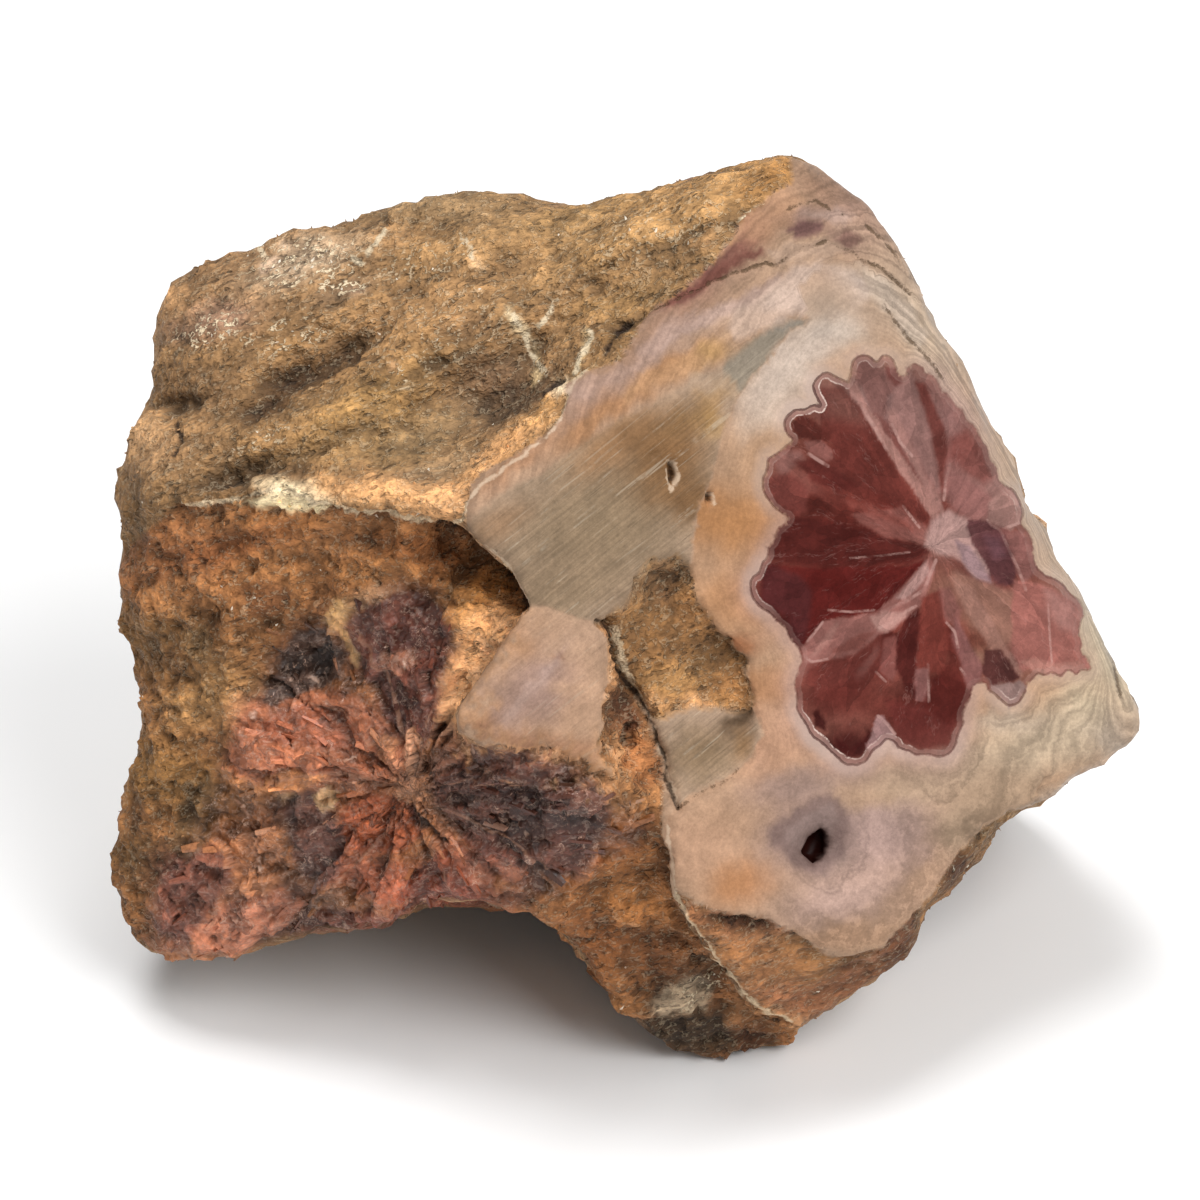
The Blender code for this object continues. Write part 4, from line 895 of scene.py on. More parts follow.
lay(colour, (192, 164, 140), polished * 0.95)
lay_washes(colour, wash_across, wash_down, SAWN_WASHES, polished)
block_inside = ramp(-ring_distance(across, down, GREY_BLOCK), -0.15, 0.35) * in_view * (1 - broken)
lay_washes(colour, wash_across, wash_down, BLOCK_WASHES, block_inside)
beside_small = np.exp(-(np.clip(small_edge, 0, 9) / 0.9) ** 1.2) * broken * (down < 790)
lay(colour, (192, 146, 108), 0.75 * beside_small)
lay_patches(colour, *sway(3.0, 4.0), SAWN_PATCHES, polished)
stalactite_inside = ramp(-ring_distance(patch_across, patch_down, STALACTITE), -0.1, 0.15) * polished
fade_to_right = 1 - ramp(across + RIGHT_EDGE_LEAN * (600 - down), 1010, 1075)
lay_washes(colour, wash_across, wash_down, STALACTITE_WASHES, stalactite_inside * fade_to_right)
lay_washes(colour, wash_across, wash_down, SMALL_WASHES, small_inside * in_view)
small_rim = small_inside * small_side * ramp(small_edge + 0.8 * shade_pick_finer, -2.2, -0.3) * in_view
lay(colour, (196, 150, 112), small_rim * 0.7)
halo_edge = ring_distance(wash_across, wash_down, HOLE_HALO)
hole_ring = np.exp(-((ring_distance(patch_across, patch_down, HOLE) - 0.15) / 0.2) ** 2)
lay(colour, (134, 110, 104), ramp(-halo_edge, -0.5, 0.4) * polished * 0.85)
lay(colour, (162, 138, 130), ramp(-halo_edge, 0.7, 1.5) * polished * 0.7)
lay(colour, (96, 72, 66), hole_ring * polished * 0.6)
# painted shade: the inside of the hole is laid nearly black
lay(colour, (44, 16, 11), ramp(-ring_distance(across + 2 * ragged[:, 0], down, HOLE), -0.1, 0.15) * in_view)
flower_edge = ring_distance(*sway(0.0, 0.9), FLOWER)
flower_inside = ramp(-flower_edge, -0.05, 0.05) * polished
near_flower = np.exp(-(np.clip(flower_edge, 0, 9) / 1.6) ** 1.5) * polished * ramp(down + across, 1240, 1330)
lay(colour, (186, 148, 138), near_flower * 0.6 * (1 - ramp(across, 960, 1010)))
lay_washes(colour, wash_across, wash_down, FLOWER_WASHES, flower_inside)
lay_patches(colour, *sway(0.0, 1.5), FLOWER_PATCHES, flower_inside)

# each kind of stone made stronger or weaker in red, green and blue; painted light and shade on the rough
# rock's relief
colour *= 1 - 0.16 * polished[:, None]
upper = polished * (1 - block_inside) * (1 - stalactite_inside) * (1 - small_inside)
upper *= 1 - ramp(across, 860, 940)
colour *= 1 - upper[:, None] * np.array([0.04, 0.12, 0.18])
deep_red = flower_inside * (1 - ramp(colour.mean(axis=1), 0.05, 0.12))
colour *= 1 - deep_red[:, None] * np.array([0.0, 0.16, 0.20])
# painted light: the shaded recess left of the small stalactite is made paler
painted_light_left_of_small = hill(wash_across, wash_down, (480, 654), 72, 28, 59) * in_view * broken
# painted light and shade: rough rock paler where it stands up and darker where it sinks
relief_light_and_shade = lift - np.average(lift, weights=rough * in_view)
colour *= 1 + (0.60 * painted_light_left_of_small)[:, None]
colour *= 1 + (rough * np.clip(relief_light_and_shade, -0.40, 0.45))[:, None]
for part, gain in (
        (open_matrix, (0.12, 0.03, -0.11)), (broken * crystal, (0.08, -0.07, -0.20)),
        (broken * (1 - crystal), (0.17, 0.08, -0.10)), (crust, (0.05, -0.10, -0.29)),
        (rough_grey * rough * in_view * (1 - broken), (0.64, 0.40, 0.03))):
    colour *= 1 + part[:, None] * np.array(gain)
colour *= np.minimum(1.0, PALEST / colour.max(axis=1, keepdims=True))

# how far along its growth each layer lies, in mm, and how clearly the layers show
from_heart = np.minimum(np.clip(flower_edge, 0, 60), np.clip(halo_edge, 0, 60) + 1.0)
from_outside = chain_distance(across, down, OUTER_LAYER)
in_section = LAYERS_ACROSS * from_heart / (from_heart + from_outside + 0.01)
layer = np.where(stalactite_inside > 0.5, in_section, LAYERS_ACROSS + from_outside)
layer = np.where(small_inside > 0.5, 20 + small_edge, layer)
band_strength = 0.15 + 0.55 * ramp(across + down, 1640, 1760) * ramp(down, 660, 700)
band_strength = np.maximum(band_strength, 0.7 * ramp(across - RIGHT_EDGE_LEAN * (down - 400), 905, 960))
band_strength = np.maximum(band_strength, 0.42 * (stalactite_inside < 0.5) * (block_inside < 0.5))
band_strength = np.where(small_inside > 0.5, 0.12, band_strength)
ray_edge = np.full(len(points), FAR)
for width, chain in [(FLOWER_EDGE_WIDTH * width, chain) for width, chain in FLOWER_EDGES] + FAN_RAYS:
    ray_edge = np.minimum(ray_edge, chain_distance(across, down, [chain]) / (width / FRAME_PER_MM))
rim_part = np.full(len(points), 0.22)
for middle, half_length, half_height, lean, amount in RIM_PARTS:
    rim_part = np.maximum(rim_part, amount * hill(across, down, middle, half_length, half_height, lean))
white_grit = np.full(len(points), 0.16)
for middle, half_length, half_height, lean, amount in WHITE_GRIT:
    spot = amount * hill(wash_across, wash_down, middle, half_length, half_height, lean) * in_view
    white_grit = np.maximum(white_grit, spot)
saw_marks = ramp(down + 0.55 * (across - 600), 400, 500) * 0.85 + 0.15
saw_marks = np.maximum(block_inside * (1 - stalactite_inside) * saw_marks, 0.5 * small_inside) * polished
whiter = np.clip(white_grit - 0.36, 0, 1)
seen_or_far = np.where(in_view > 0.3, 0.0, FAR)

# all of it is kept on the skin's points as attributes that its materials read
single_values = {
    "crystal": crystal,
    "flower_edge": np.where(sawn_part > 0.3, flower_edge, FAR),
    "layer": layer,
    "band_strength": band_strength,
    "grit_share": np.clip((1 - polished) * (1 - crystal), 0, 1) * (0.10 + 0.90 * whiter),
    "ray_edge": ray_edge + seen_or_far,
    "seam_edge": chain_distance(across, down, SEAMS) + seen_or_far,
    "crack_edge": crack_edge + seen_or_far,
    "vein_edge": chain_distance(across, down, VEINS) + seen_or_far,
    "pale_and_lit_edge": chain_distance(patch_across, patch_down, PALE_AND_LIT_EDGES) + seen_or_far,
    "saw_marks": saw_marks,
    "white_grit": white_grit,
    "rim_part": rim_part,
    "splinter_share": ramp(crystal, 0.75, 0.98),
}
wash = np.concatenate([colour, np.ones((len(colour), 1))], axis=1).astype(np.float32)
skin.attributes.new("wash", "FLOAT_COLOR", "POINT").data.foreach_set("color", wash.ravel())
shown = [(across - FRAME_MIDDLE) / FRAME_PER_MM, (FRAME_MIDDLE - down) / FRAME_PER_MM, depth]
shown = np.stack(shown, axis=1).astype(np.float32)
skin.attributes.new("shown", "FLOAT_VECTOR", "POINT").data.foreach_set("vector", shown.ravel())
for name, values in single_values.items():
    skin.attributes.new(name, "FLOAT", "POINT").data.foreach_set("value", values.astype(np.float32))


def place_node(kind, links=None, **settings):
    """A node in the tree at hand, with its settings, values for its inputs, and links into them."""
    made = tree.nodes.new(kind)
    for name, value in settings.items():
        setattr(made, name, value)
    for key, value in (links or {}).items():
        if isinstance(value, bpy.types.NodeSocket):
            tree.links.new(value, made.inputs[key])
        else:
            made.inputs[key].default_value = value
    return made


def calculate(operation, first, second=0.0, third=0.0):
    """One sum on values."""
    return place_node("ShaderNodeMath", {0: first, 1: second, 2: third}, operation=operation).outputs[0]


def product(first, second):
    """Two values multiplied."""
    return calculate("MULTIPLY", first, second)


def add_share(value, share, base):
    """A share of a value, added to a base."""
    return calculate("MULTIPLY_ADD", value, share, base)


def vectors(operation, first, second=(0.0, 0.0, 0.0), scale=1.0):
    """One sum on vectors, which gives a value where it is a length or a dot product."""
    made = place_node("ShaderNodeVectorMath", {0: first, 1: second, 3: scale}, operation=operation)
    return made.outputs["Value" if operation in ("LENGTH", "DOT_PRODUCT") else "Vector"]


def combine(first, second, third):
    """Three values as one vector."""
    return place_node("ShaderNodeCombineXYZ", {0: first, 1: second, 2: third}).outputs[0]


def stretch(value, low, high, low_out=0.0, high_out=1.0):
    """Maps low to high onto another range, smoothly and without going past it."""
    links = {"Value": value, "From Min": low, "From Max": high, "To Min": low_out, "To Max": high_out}
    return place_node("ShaderNodeMapRange", links, interpolation_type="SMOOTHSTEP").outputs[0]


def clouds(place, scale, detail, roughness, **settings):
    """Noise over a place."""
    links = {"Vector": place, "Scale": scale, "Detail": detail, "Roughness": roughness}
    return place_node("ShaderNodeTexNoise", links, **settings)


def cells(place, scale):
    """Cells over a place, each with a random colour."""
    return place_node("ShaderNodeTexVoronoi", {"Vector": place, "Scale": scale})


def channels(texture):
    """The three separate values in a texture's colour."""
    return place_node("ShaderNodeSeparateColor", {0: texture.outputs["Color"]}).outputs


def curled_lines(value, outer, inner):
    """1 along the curled lines where a noise passes its middle value, and 0 past them."""
    return stretch(calculate("ABSOLUTE", calculate("SUBTRACT", value, 0.5)), outer, inner)


def cell_facets(place, cell):
    """The height of a surface broken into flat cells, each tilted its own way."""
    offset = vectors("SUBTRACT", place, cell.outputs["Position"])
    return vectors("DOT_PRODUCT", offset, vectors("SUBTRACT", cell.outputs["Color"], (0.5, 0.5, 0.5)))


def begin_group(name, places, values):
    """A shader group that takes places and values, and gives a shade, a pale mark (painted glints in the
    rays) and a height.
    """
    global tree
    tree = bpy.data.node_groups.new(name, "ShaderNodeTree")
    for label in places:
        tree.interface.new_socket(label, in_out="INPUT", socket_type="NodeSocketVector")
    for label, value in values.items():
        tree.interface.new_socket(label, in_out="INPUT", socket_type="NodeSocketFloat").default_value = value
    for label in ("Shade", "Fleck_and_glint", "Height"):
        tree.interface.new_socket(label, in_out="OUTPUT", socket_type="NodeSocketFloat")
    return tree, tree.nodes.new("NodeGroupInput").outputs


def end_group(shade, pale_fleck_and_glint, height):
    """Links a group's results to its outputs."""
    place_node("NodeGroupOutput", {"Shade": shade, "Fleck_and_glint": pale_fleck_and_glint, "Height": height})


# grit: grains about half a millimetre across that lie along the beds, with curled pale flecks and dark gaps
BEDS = ((BED_RUN, 0.215, 0.307), (-0.226, 0.974, 0.0), (-0.299, -0.069, 0.952))
GRAIN_SQUEEZE = (0.80, 1.0, 1.15)
grit_group, given = begin_group("grit", ["Place"], {"Grain": 2.0})
lie = [vectors("DOT_PRODUCT", given["Place"], tuple(value * squeeze for value in direction))
       for direction, squeeze in zip(BEDS, GRAIN_SQUEEZE)]
bed_place = combine(*lie)
mottle = clouds(bed_place, 0.36, 3.0, 0.65)
sand = clouds(bed_place, given["Grain"], 2.0, 0.55)
grains = cells(bed_place, product(given["Grain"], 1.6))
dashes = clouds(combine(product(lie[0], 0.45), lie[1], lie[2]), product(given["Grain"], 1.5), 1.0, 0.5)
mottle_parts, sand_parts, grain_pick = channels(mottle), channels(sand), channels(grains)
dash = product(stretch(dashes.outputs[0], 0.57, 0.66), stretch(mottle_parts[2], 0.44, 0.60, 0.10, 1.0))
light = stretch(mottle.outputs[0], 0.32, 0.68, 0.74, 1.30)
light = product(light, stretch(sand.outputs[0], 0.34, 0.66, 0.86, 1.16))
light = product(light, add_share(grain_pick[0], 0.30, 0.86))
light = product(light, add_share(dash, -0.46, 1.02))
curl = product(curled_lines(sand_parts[1], 0.060, 0.030), stretch(sand_parts[2], 0.47, 0.56))
lone_grain = product(stretch(grain_pick[1], 0.86, 0.90), stretch(grains.outputs["Distance"], 0.40, 0.22))
fleck = calculate("MAXIMUM", curl, lone_grain)
rise = add_share(sand.outputs[0], 1.5, product(grain_pick[0], 0.25))
rise = add_share(dash, -0.55, rise)
rise = add_share(fleck, 0.25, rise)
rise = add_share(mottle_parts[1], 2.0, rise)
end_group(light, fleck, rise)

# rays: crystals that run out from a heart, each its own shade, with painted glints on bright splinters and
# threads between them
ray_group, given = begin_group("crystal_rays", ["Place", "Heart"], {"Rays": 4.0, "Length": 6.0, "Waver": 1.0})
on_face = vectors("MULTIPLY", vectors("SUBTRACT", given["Place"], given["Heart"]), (1.0, 1.0, 0.0))
waver = vectors("SUBTRACT", clouds(given["Place"], 0.35, 3.0, 0.6).outputs["Color"], (0.5, 0.5, 0.5))
bent = vectors("ADD", on_face, vectors("SCALE", waver, scale=given["Waver"]))
fanned = vectors("SCALE", vectors("NORMALIZE", bent), scale=given["Rays"])
fanned_parts = place_node("ShaderNodeSeparateXYZ", {0: fanned}).outputs
run_out = calculate("DIVIDE", vectors("LENGTH", bent), given["Length"])
ray_place = combine(fanned_parts[0], fanned_parts[1], run_out)
splinter, block, fibre = cells(ray_place, 1.6), cells(given["Place"], 0.75), clouds(ray_place, 2.2, 4.0, 0.75)
splinter_pick, block_pick, fibre_parts = channels(splinter), channels(block), channels(fibre)
light = add_share(splinter_pick[0], 0.76, 0.62)
light = product(light, stretch(fibre.outputs[0], 0.25, 0.75, 0.68, 1.32))
light = product(light, add_share(block_pick[0], 0.50, 0.75))
glint_thread = product(curled_lines(fibre_parts[1], 0.022, 0.006), stretch(fibre_parts[2], 0.52, 0.62))
glint_chip = product(stretch(splinter_pick[1], 0.86, 0.91), stretch(splinter.outputs["Distance"], 0.32, 0.12))
rise = product(cell_facets(ray_place, splinter), 3.0)
rise = add_share(cell_facets(given["Place"], block), 1.6, rise)
rise = add_share(block_pick[1], 0.5, rise)
rise = add_share(fibre.outputs[0], 0.4, rise)
end_group(light, calculate("MAXIMUM", glint_chip, glint_thread), rise)


def begin_material(name):
    """A new material, with its tree at hand."""
    global tree
    made = bpy.data.materials.new(name)
    made.use_nodes = True
    tree = made.node_tree
    return made


def finish_surface(colour, roughness, specular, height=None, distance=0.0, strength=1.0):
    """Feeds the material's surface: its colour, how rough it is, and its height where it has one."""
    surface = tree.nodes["Principled BSDF"]
    tree.links.new(colour, surface.inputs["Base Color"])
    tree.links.new(roughness, surface.inputs["Roughness"])
    surface.inputs["Specular IOR Level"].default_value = specular
    if height is not None:
        bump = place_node("ShaderNodeBump", {"Height": height, "Distance": distance, "Strength": strength})
        tree.links.new(bump.outputs[0], surface.inputs["Normal"])


def read(name, output="Fac"):
    """One of the skin's attributes."""
    return place_node("ShaderNodeAttribute", attribute_name=name).outputs[output]


def place_in_mm():
    """Where a point of the surface lies on the stone, in mm."""
    return vectors("SCALE", tree.nodes.new("ShaderNodeTexCoord").outputs["Object"], scale=1 / MM)


def use_group(group, **values):
    """A group put to use in the material, with its own values."""
    return place_node("ShaderNodeGroup", values, node_tree=group).outputs


def blend_colours(amount, under, over):
    """One colour laid over another by an amount."""
    links = {0: amount, 6: under, 7: over}
    return place_node("ShaderNodeMix", links, data_type="RGBA", blend_type="MIX").outputs[2]


def blend_values(amount, under, over):
    """A value between two values."""
    return place_node("ShaderNodeMix", {0: amount, 2: under, 3: over}).outputs[0]


def times(colour, value):
    """A colour made lighter or darker by a value."""
    return vectors("SCALE", colour, scale=value)


def paint_over(under, shade, amount, share=1.0):
    """A shade painted over a colour, by a share of an amount."""
    return blend_colours(product(amount, share), under, (*daylight(shade), 1.0))


def fine_line(name, wobble, low, high):
    """1 on a line kept as a distance, and 0 past its width, with a wobbly edge."""
    return stretch(add_share(wobble, 0.7, calculate("SUBTRACT", read(name), 0.35)), high, low)


# the rock that broke: grit all over, and crystals that fan out in front
broken_rock = begin_material("vein_rock_broken")
shown, wash, is_crystal = read("shown", "Vector"), read("wash", "Color"), read("crystal")
grit_marks = use_group(grit_group, Place=place_in_mm(), Grain=1.25)
fan_rays = use_group(ray_group, Place=shown, Heart=(-18.9, -19.0, 0.0), Rays=5.5, Length=3.2, Waver=5.0)
fleck_amount = product(grit_marks["Fleck_and_glint"], stretch(read("white_grit"), 0.10, 0.70, 0.14, 1.0))
rough_rock = paint_over(times(wash, grit_marks["Shade"]), (248, 224, 186), fleck_amount)
fan_rock = times(times(wash, fan_rays["Shade"]), stretch(grit_marks["Shade"], 0.3, 1.8, 0.70, 1.35))
ray_line = stretch(add_share(fan_rays["Shade"], 0.5, read("ray_edge")), 1.7, 0.6)
fan_rock = paint_over(fan_rock, (200, 146, 116), ray_line, 0.5)
# painted glints on the fanned crystals
fan_rock = paint_over(fan_rock, (240, 196, 170), fan_rays["Fleck_and_glint"], 0.6)
fan_rock = paint_over(fan_rock, (246, 214, 192), grit_marks["Fleck_and_glint"], 0.13)
stone_colour = blend_colours(is_crystal, rough_rock, fan_rock)
wobble = clouds(shown, 1.3, 3.0, 0.65).outputs[0]
stone_colour = paint_over(stone_colour, (236, 216, 182), fine_line("vein_edge", wobble, 0.10, 0.42), 0.85)
# pale broken edges with a painted highlight along them
stone_colour = paint_over(stone_colour, (246, 220, 182), fine_line("pale_and_lit_edge", wobble, 0.06, 0.36), 0.75)
# painted shade, with the cracks' own darkness: the cracks are drawn near black
stone_colour = paint_over(stone_colour, (44, 26, 14), fine_line("crack_edge", wobble, 0.05, 0.42), 0.85)
dull = add_share(fleck_amount, -0.40, 0.78)
shine = stretch(fan_rays["Fleck_and_glint"], 0.0, 0.6, 0.45, 0.18)
finish_surface(stone_colour, blend_values(is_crystal, dull, shine), 0.35,
               blend_values(is_crystal, grit_marks["Height"], fan_rays["Height"]), 0.45 * MM)

# the sawn face: growth layers, the grey block with its saw marks, and the flower of crystals
sawn_rock = begin_material("vein_rock_sawn")
shown, wash, edge_of_flower = read("shown", "Vector"), read("wash", "Color"), read("flower_edge")
in_flower = stretch(edge_of_flower, 0.03, -0.03)
flower_rays = use_group(ray_group, Place=shown, Heart=(33.4, 5.4, 0.0), Rays=3.6, Length=14.0, Waver=1.6)
cloud = clouds(shown, 0.30, 5.0, 0.7)
cloud_parts = channels(cloud)
wobble = clouds(shown, 1.5, 3.0, 0.75).outputs[0]
cloudy = times(wash, stretch(clouds(shown, 3.6, 2.0, 0.7).outputs[0], 0.32, 0.68, 0.93, 1.07))
cloudy = times(cloudy, stretch(wobble, 0.30, 0.70, 0.93, 1.07))
cloudy = times(cloudy, stretch(cloud.outputs[0], 0.28, 0.72, 0.84, 1.16))
layer_place = combine(add_share(cloud_parts[1], 2.4, read("layer")), 0.0, 0.0)
layer_noise = clouds(layer_place, 1.0, 2.0, 0.7, noise_dimensions="2D").outputs[0]
layer_shade = add_share(stretch(layer_noise, 0.36, 0.64, -0.34, 0.26), read("band_strength"), 1.0)
saw_turn = place_node("ShaderNodeMapping", {"Vector": shown, "Rotation": (0.0, 0.0, math.radians(-39.0))})
saw_line = clouds(vectors("MULTIPLY", saw_turn.outputs[0], (0.11, 2.6, 0.0)), 1.0, 2.0, 0.6)
saw_parts, is_marked = channels(saw_line), read("saw_marks")
scratch = product(stretch(saw_parts[1], 0.58, 0.70), stretch(cloud_parts[1], 0.42, 0.58))
cut = product(stretch(saw_parts[2], 0.60, 0.70), stretch(cloud_parts[2], 0.42, 0.58))
marked = times(cloudy, stretch(saw_line.outputs[0], 0.34, 0.66, 0.90, 1.12))
marked = paint_over(marked, (214, 200, 178), scratch, 0.30)
marked = times(marked, add_share(cut, -0.25, 1.03))
sawn = blend_colours(is_marked, times(cloudy, layer_shade), marked)
flower_colour = times(cloudy, stretch(flower_rays["Shade"], 0.5, 1.5, 0.80, 1.22))
# pale rays and the flower's bright edges, the edges partly painted glints
ray_wobble = add_share(wobble, 0.6, calculate("SUBTRACT", read("ray_edge"), 0.3))
ray_line = product(stretch(ray_wobble, 1.3, 0.4), stretch(cloud_parts[2], 0.40, 0.60, 0.10, 0.5))
flower_colour = paint_over(flower_colour, (206, 164, 154), ray_line)
# painted glints in the flower
flower_colour = paint_over(flower_colour, (206, 158, 148), flower_rays["Fleck_and_glint"], 0.10)
sawn = blend_colours(in_flower, sawn, flower_colour)
rim = add_share(cloud_parts[0], 0.7, calculate("SUBTRACT", edge_of_flower, 0.35))
rim_part = read("rim_part")


def rim_band(outer, outer_edge, inner_edge, inner, amount):
    """1 across a band of the rim, between two distances from the flower's edge."""
    return product(product(stretch(rim, outer, outer_edge), stretch(rim, inner, inner_edge)), amount)


halo_amount = product(rim_part, 0.55)
dark_rim = rim_band(0.16, 0.06, -0.05, -0.15, rim_part)
bright_rim = product(stretch(rim_part, 0.4, 0.95, 0.05, 0.9), stretch(wobble, 0.35, 0.55))
sawn = paint_over(sawn, (206, 184, 174), rim_band(1.8, 0.5, 0.15, 0.0, halo_amount))
sawn = paint_over(sawn, (112, 82, 76), dark_rim)
sawn = paint_over(sawn, (178, 142, 132), rim_band(-0.06, -0.16, -0.46, -0.60, halo_amount))
sawn = paint_over(sawn, (226, 200, 188), rim_band(-0.44, -0.52, -0.55, -0.66, bright_rim))
seam = product(fine_line("seam_edge", wobble, 0.02, 0.24), stretch(cloud_parts[2], 0.42, 0.52))
sawn = paint_over(sawn, (92, 72, 52), seam, 0.75)
# pale edges with a painted highlight along them
sawn = paint_over(sawn, (240, 214, 186), fine_line("pale_and_lit_edge", wobble, 0.04, 0.30), 0.55)
# painted shade, with the cracks' own darkness: the cracks are drawn near black
sawn = paint_over(sawn, (44, 26, 14), fine_line("crack_edge", wobble, 0.05, 0.36), 0.85)
rise = product(product(saw_line.outputs[0], is_marked), 0.30)
rise = add_share(product(flower_rays["Height"], in_flower), 0.10, rise)
rise = add_share(wobble, 0.10, rise)
rise = add_share(calculate("MAXIMUM", seam, dark_rim), -0.4, rise)
finish_surface(sawn, stretch(cloud.outputs[0], 0.3, 0.7, 0.34, 0.52), 0.05, rise, 0.35 * MM, 0.9)

skin.materials.clear()
skin.materials.append(broken_rock)
skin.materials.append(sawn_rock)
face_corners = np.zeros(len(skin.polygons) * 3, np.int32)
skin.polygons.foreach_get("vertices", face_corners)
face_polished = polished[face_corners.reshape(-1, 3)].mean(axis=1)
skin.polygons.foreach_set("material_index", (face_polished > 0.5).astype(np.int32))
skin.update()

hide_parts("specimen")
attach(stone, "root")

# --- Grit and splinters ------------------------------------------------------------------------------------
# The loose-looking grains of the rough rock, and the splintered ends of the fanned crystals. All of them grew
# or broke with the stone and are fast to it. They are scattered over the skin and sunk into it.
GRAIN_SMALLEST = (0.14 * MM, 0.08 * MM, 0.06 * MM)
GRAIN_LARGEST = (0.50 * MM, 0.22 * MM, 0.18 * MM)
GRAINS_PER_SQUARE_METRE = 2.4e6
SPLINTER_SMALLEST = (0.35 * MM, 0.20 * MM, 0.5 * MM)
SPLINTER_LARGEST = (0.72 * MM, 0.36 * MM, 1.2 * MM)
SPLINTERS_PER_SQUARE_METRE = 0.16e6
SPLINTER_STRAY = 0.18


def random_vector(low, high, seed):
    """A vector picked at random for each piece."""
    links = {0: low, 1: high, "Seed": seed}
    return place_node("FunctionNodeRandomValue", links, data_type="FLOAT_VECTOR").outputs[0]


def scatter_tree(name, shape, sides):
    """Geometry nodes that scatter grains, or splinters which point away from a heart, over a skin."""
    global tree
    tree = bpy.data.node_groups.new(name, "GeometryNodeTree")
    for label, kind in (
            ("Skin", "Geometry"), ("Share", "String"), ("Density", "Float"), ("Smallest", "Vector"),
            ("Largest", "Vector"), ("Heart", "Vector"), ("Sink", "Float"), ("Seed", "Int"),
            ("Finish", "Material")):
        tree.interface.new_socket(label, in_out="INPUT", socket_type="NodeSocket" + kind)
    tree.interface.new_socket("Pieces", in_out="OUTPUT", socket_type="NodeSocketGeometry")
    given = tree.nodes.new("NodeGroupInput").outputs
    share = place_node("GeometryNodeInputNamedAttribute", {"Name": given["Share"]}, data_type="FLOAT")
    density = product(share.outputs["Attribute"], given["Density"])
    spots = place_node("GeometryNodeDistributePointsOnFaces", {
        "Mesh": given["Skin"], "Density": density, "Seed": given["Seed"]},
        distribute_method="RANDOM").outputs
    pick = place_node("FunctionNodeRandomValue", {"Seed": given["Seed"]}, data_type="FLOAT")
    picked = place_node("GeometryNodeStoreNamedAttribute", {
        "Geometry": spots["Points"], "Name": "pick", "Value": pick.outputs[1]},
        data_type="FLOAT", domain="POINT")
    size = random_vector(given["Smallest"], given["Largest"], 3)
    if shape == "splinter":
        piece = place_node("GeometryNodeMeshCone", {
            "Vertices": sides, "Radius Top": 0.55, "Radius Bottom": 1.0, "Depth": 2.0},
            fill_type="TRIANGLE_FAN")
        away = vectors("SUBTRACT", tree.nodes.new("GeometryNodeInputPosition").outputs[0], given["Heart"])
        rising = vectors("DOT_PRODUCT", away, spots["Normal"])
        away = vectors("SUBTRACT", away, vectors("SCALE", spots["Normal"], scale=rising))
        stray = random_vector((-SPLINTER_STRAY,) * 3, (SPLINTER_STRAY,) * 3, 5)
        turn = place_node("FunctionNodeAlignRotationToVector", {
            "Rotation": random_vector((0.0, 0.0, 0.0), (0.0, 0.0, math.tau), 7),
            "Vector": vectors("ADD", vectors("NORMALIZE", away), stray)}, axis="Z").outputs[0]
    else:
        piece = place_node("GeometryNodeMeshUVSphere", {"Segments": sides, "Rings": 2, "Radius": 1.0})
        turn = random_vector((0.0, 0.0, 0.0), (math.tau, math.tau, math.tau), 7)
    sink = vectors("SCALE", spots["Normal"], scale=given["Sink"])
    sunk = place_node("GeometryNodeSetPosition", {"Geometry": picked.outputs[0], "Offset": sink})
    placed = place_node("GeometryNodeInstanceOnPoints", {
        "Points": sunk.outputs[0], "Instance": piece.outputs["Mesh"], "Rotation": turn, "Scale": size})
    joined = place_node("GeometryNodeRealizeInstances", {0: placed.outputs[0]})
    faceted = place_node("GeometryNodeSetShadeSmooth", {0: joined.outputs[0], "Shade Smooth": False})
    finished = place_node("GeometryNodeSetMaterial", {
        "Geometry": faceted.outputs[0], "Material": given["Finish"]})
    place_node("NodeGroupOutput", {0: finished.outputs[0]})
    return tree


def scatter(name, pieces, **values):
    """A piece made by scattering over the stone's skin, as one plain mesh."""
    carrier = bpy.data.objects.new(name + "_carrier", skin)
    bpy.context.scene.collection.objects.link(carrier)
    spreading = carrier.modifiers.new("scatter", "NODES")
    spreading.node_group = pieces
    for socket in pieces.interface.items_tree:
        if socket.in_out == "INPUT" and socket.name in values:
            spreading[socket.identifier] = values[socket.name]
    mesh = bpy.data.meshes.new_from_object(carrier.evaluated_get(bpy.context.evaluated_depsgraph_get()))
    carrier.modifiers.clear()
    bpy.data.objects.remove(carrier)
    mesh.vertices.foreach_set("co", np.clip(of_points(mesh, "co"), lowest, highest).ravel())
    mesh.update()
    made = bpy.data.objects.new(name, mesh)
    bpy.context.scene.collection.objects.link(made)
    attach(made, "root")


grain_face = begin_material("vein_rock_grains")
pick = read("pick")
white_from = add_share(read("white_grit"), -0.6, 1.05)
white = stretch(calculate("SUBTRACT", pick, white_from), 0.0, 0.03, 0.0, 0.85)
grain_colour = times(read("wash", "Color"), stretch(pick, 0.0, 0.9, 0.70, 1.38))
grain_colour = paint_over(grain_colour, (246, 236, 216), white)
speckle = clouds(place_in_mm(), 4.0, 2.0, 0.7).outputs[0]
grain_colour = times(grain_colour, stretch(speckle, 0.3, 0.7, 0.75, 1.25))
finish_surface(grain_colour, stretch(speckle, 0.3, 0.7, 0.45, 0.75), 0.4)

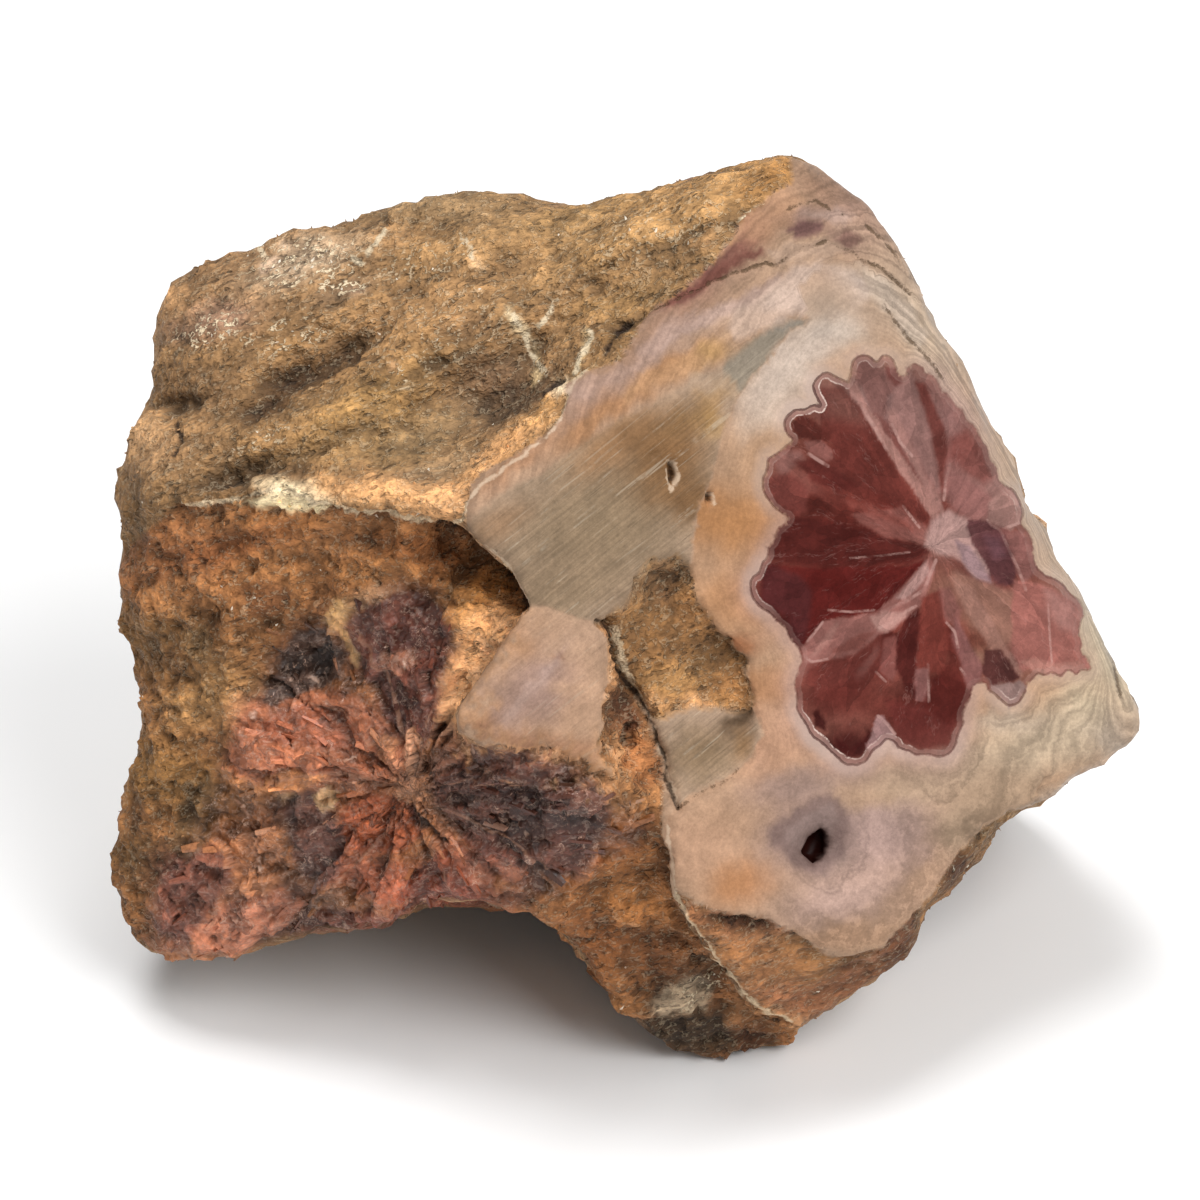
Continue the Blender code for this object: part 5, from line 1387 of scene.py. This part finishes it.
splinter_face = begin_material("vein_rock_splinters")
pick = read("pick")
streaks = clouds(place_in_mm(), 2.2, 3.0, 0.7).outputs[0]
splinter_colour = times(read("wash", "Color"), stretch(pick, 0.0, 1.0, 0.80, 1.32))
splinter_colour = times(splinter_colour, stretch(streaks, 0.3, 0.7, 0.72, 1.30))
splinter_colour = paint_over(splinter_colour, (226, 180, 152), stretch(pick, 0.90, 0.96), 0.30)
finish_surface(splinter_colour, stretch(streaks, 0.35, 0.65, 0.26, 0.50), 0.35)

heart_spot = points[np.argmin(np.hypot(across - FAN_HEART[0], down - FAN_HEART[1]) + 1e4 * (in_view < 0.5))]
grain_tree = scatter_tree("scatter_grains", "grain", 4)
splinter_tree = scatter_tree("scatter_splinters", "splinter", 5)
scatter("rough_grains", grain_tree, Share="grit_share", Density=GRAINS_PER_SQUARE_METRE,
        Smallest=GRAIN_SMALLEST, Largest=GRAIN_LARGEST, Sink=-0.06 * MM, Seed=11, Finish=grain_face)
scatter("crystal_splinters", splinter_tree, Share="splinter_share", Density=SPLINTERS_PER_SQUARE_METRE,
        Smallest=SPLINTER_SMALLEST, Largest=SPLINTER_LARGEST, Heart=tuple(heart_spot), Sink=-0.38 * MM,
        Seed=23, Finish=splinter_face)

# --- Floor, light and eye ----------------------------------------------------------------------------------
# A plain white table that runs out of sight, two soft square lights above, a pale room, and the eye in front.
TABLE_SIDE = 6.0
LIGHTS = [
    ("sky_panel", (-0.15, 0.12, 0.95), 0.45, 6.5),
    ("front_panel", (0.50, -0.50, 0.78), 0.6, 8.5),
]
LIT_PLACE = (0.0, 0.0, 0.03)
SENSOR_WIDTH = 36.0

bpy.ops.mesh.primitive_plane_add(size=TABLE_SIDE, location=(0.0, 0.0, 0.0))
table = bpy.context.object
table.name = "table"
table_white = bpy.data.materials.new("table_white")
table_white.use_nodes = True
table_surface = table_white.node_tree.nodes["Principled BSDF"]
table_surface.inputs["Base Color"].default_value = (0.90, 0.90, 0.90, 1.0)
table_surface.inputs["Roughness"].default_value = 0.9
table.data.materials.append(table_white)

room = bpy.data.worlds.new("room")
room.use_nodes = True
room.node_tree.nodes["Background"].inputs["Color"].default_value = (1.0, 1.0, 1.0, 1.0)
room.node_tree.nodes["Background"].inputs["Strength"].default_value = 0.30
bpy.context.scene.world = room

for name, place, size, power in LIGHTS:
    lamp = bpy.data.lights.new(name, "AREA")
    lamp.size = size
    lamp.energy = power
    held = bpy.data.objects.new(name, lamp)
    bpy.context.scene.collection.objects.link(held)
    held.location = place
    held.rotation_euler = (Vector(LIT_PLACE) - Vector(place)).to_track_quat("-Z", "Y").to_euler()

lens = bpy.data.cameras.new("eye")
lens.sensor_width = SENSOR_WIDTH
lens.lens = SENSOR_WIDTH * EYE_DISTANCE / FRAME_REACH
lens.clip_start = 0.01
camera = bpy.data.objects.new("eye", lens)
bpy.context.scene.collection.objects.link(camera)
camera.location = eye
camera.rotation_euler = Vector(looking).to_track_quat("-Z", "Y").to_euler()
bpy.context.scene.camera = camera
bpy.context.scene.view_settings.view_transform = "Standard"

bpy.context.view_layer.update()
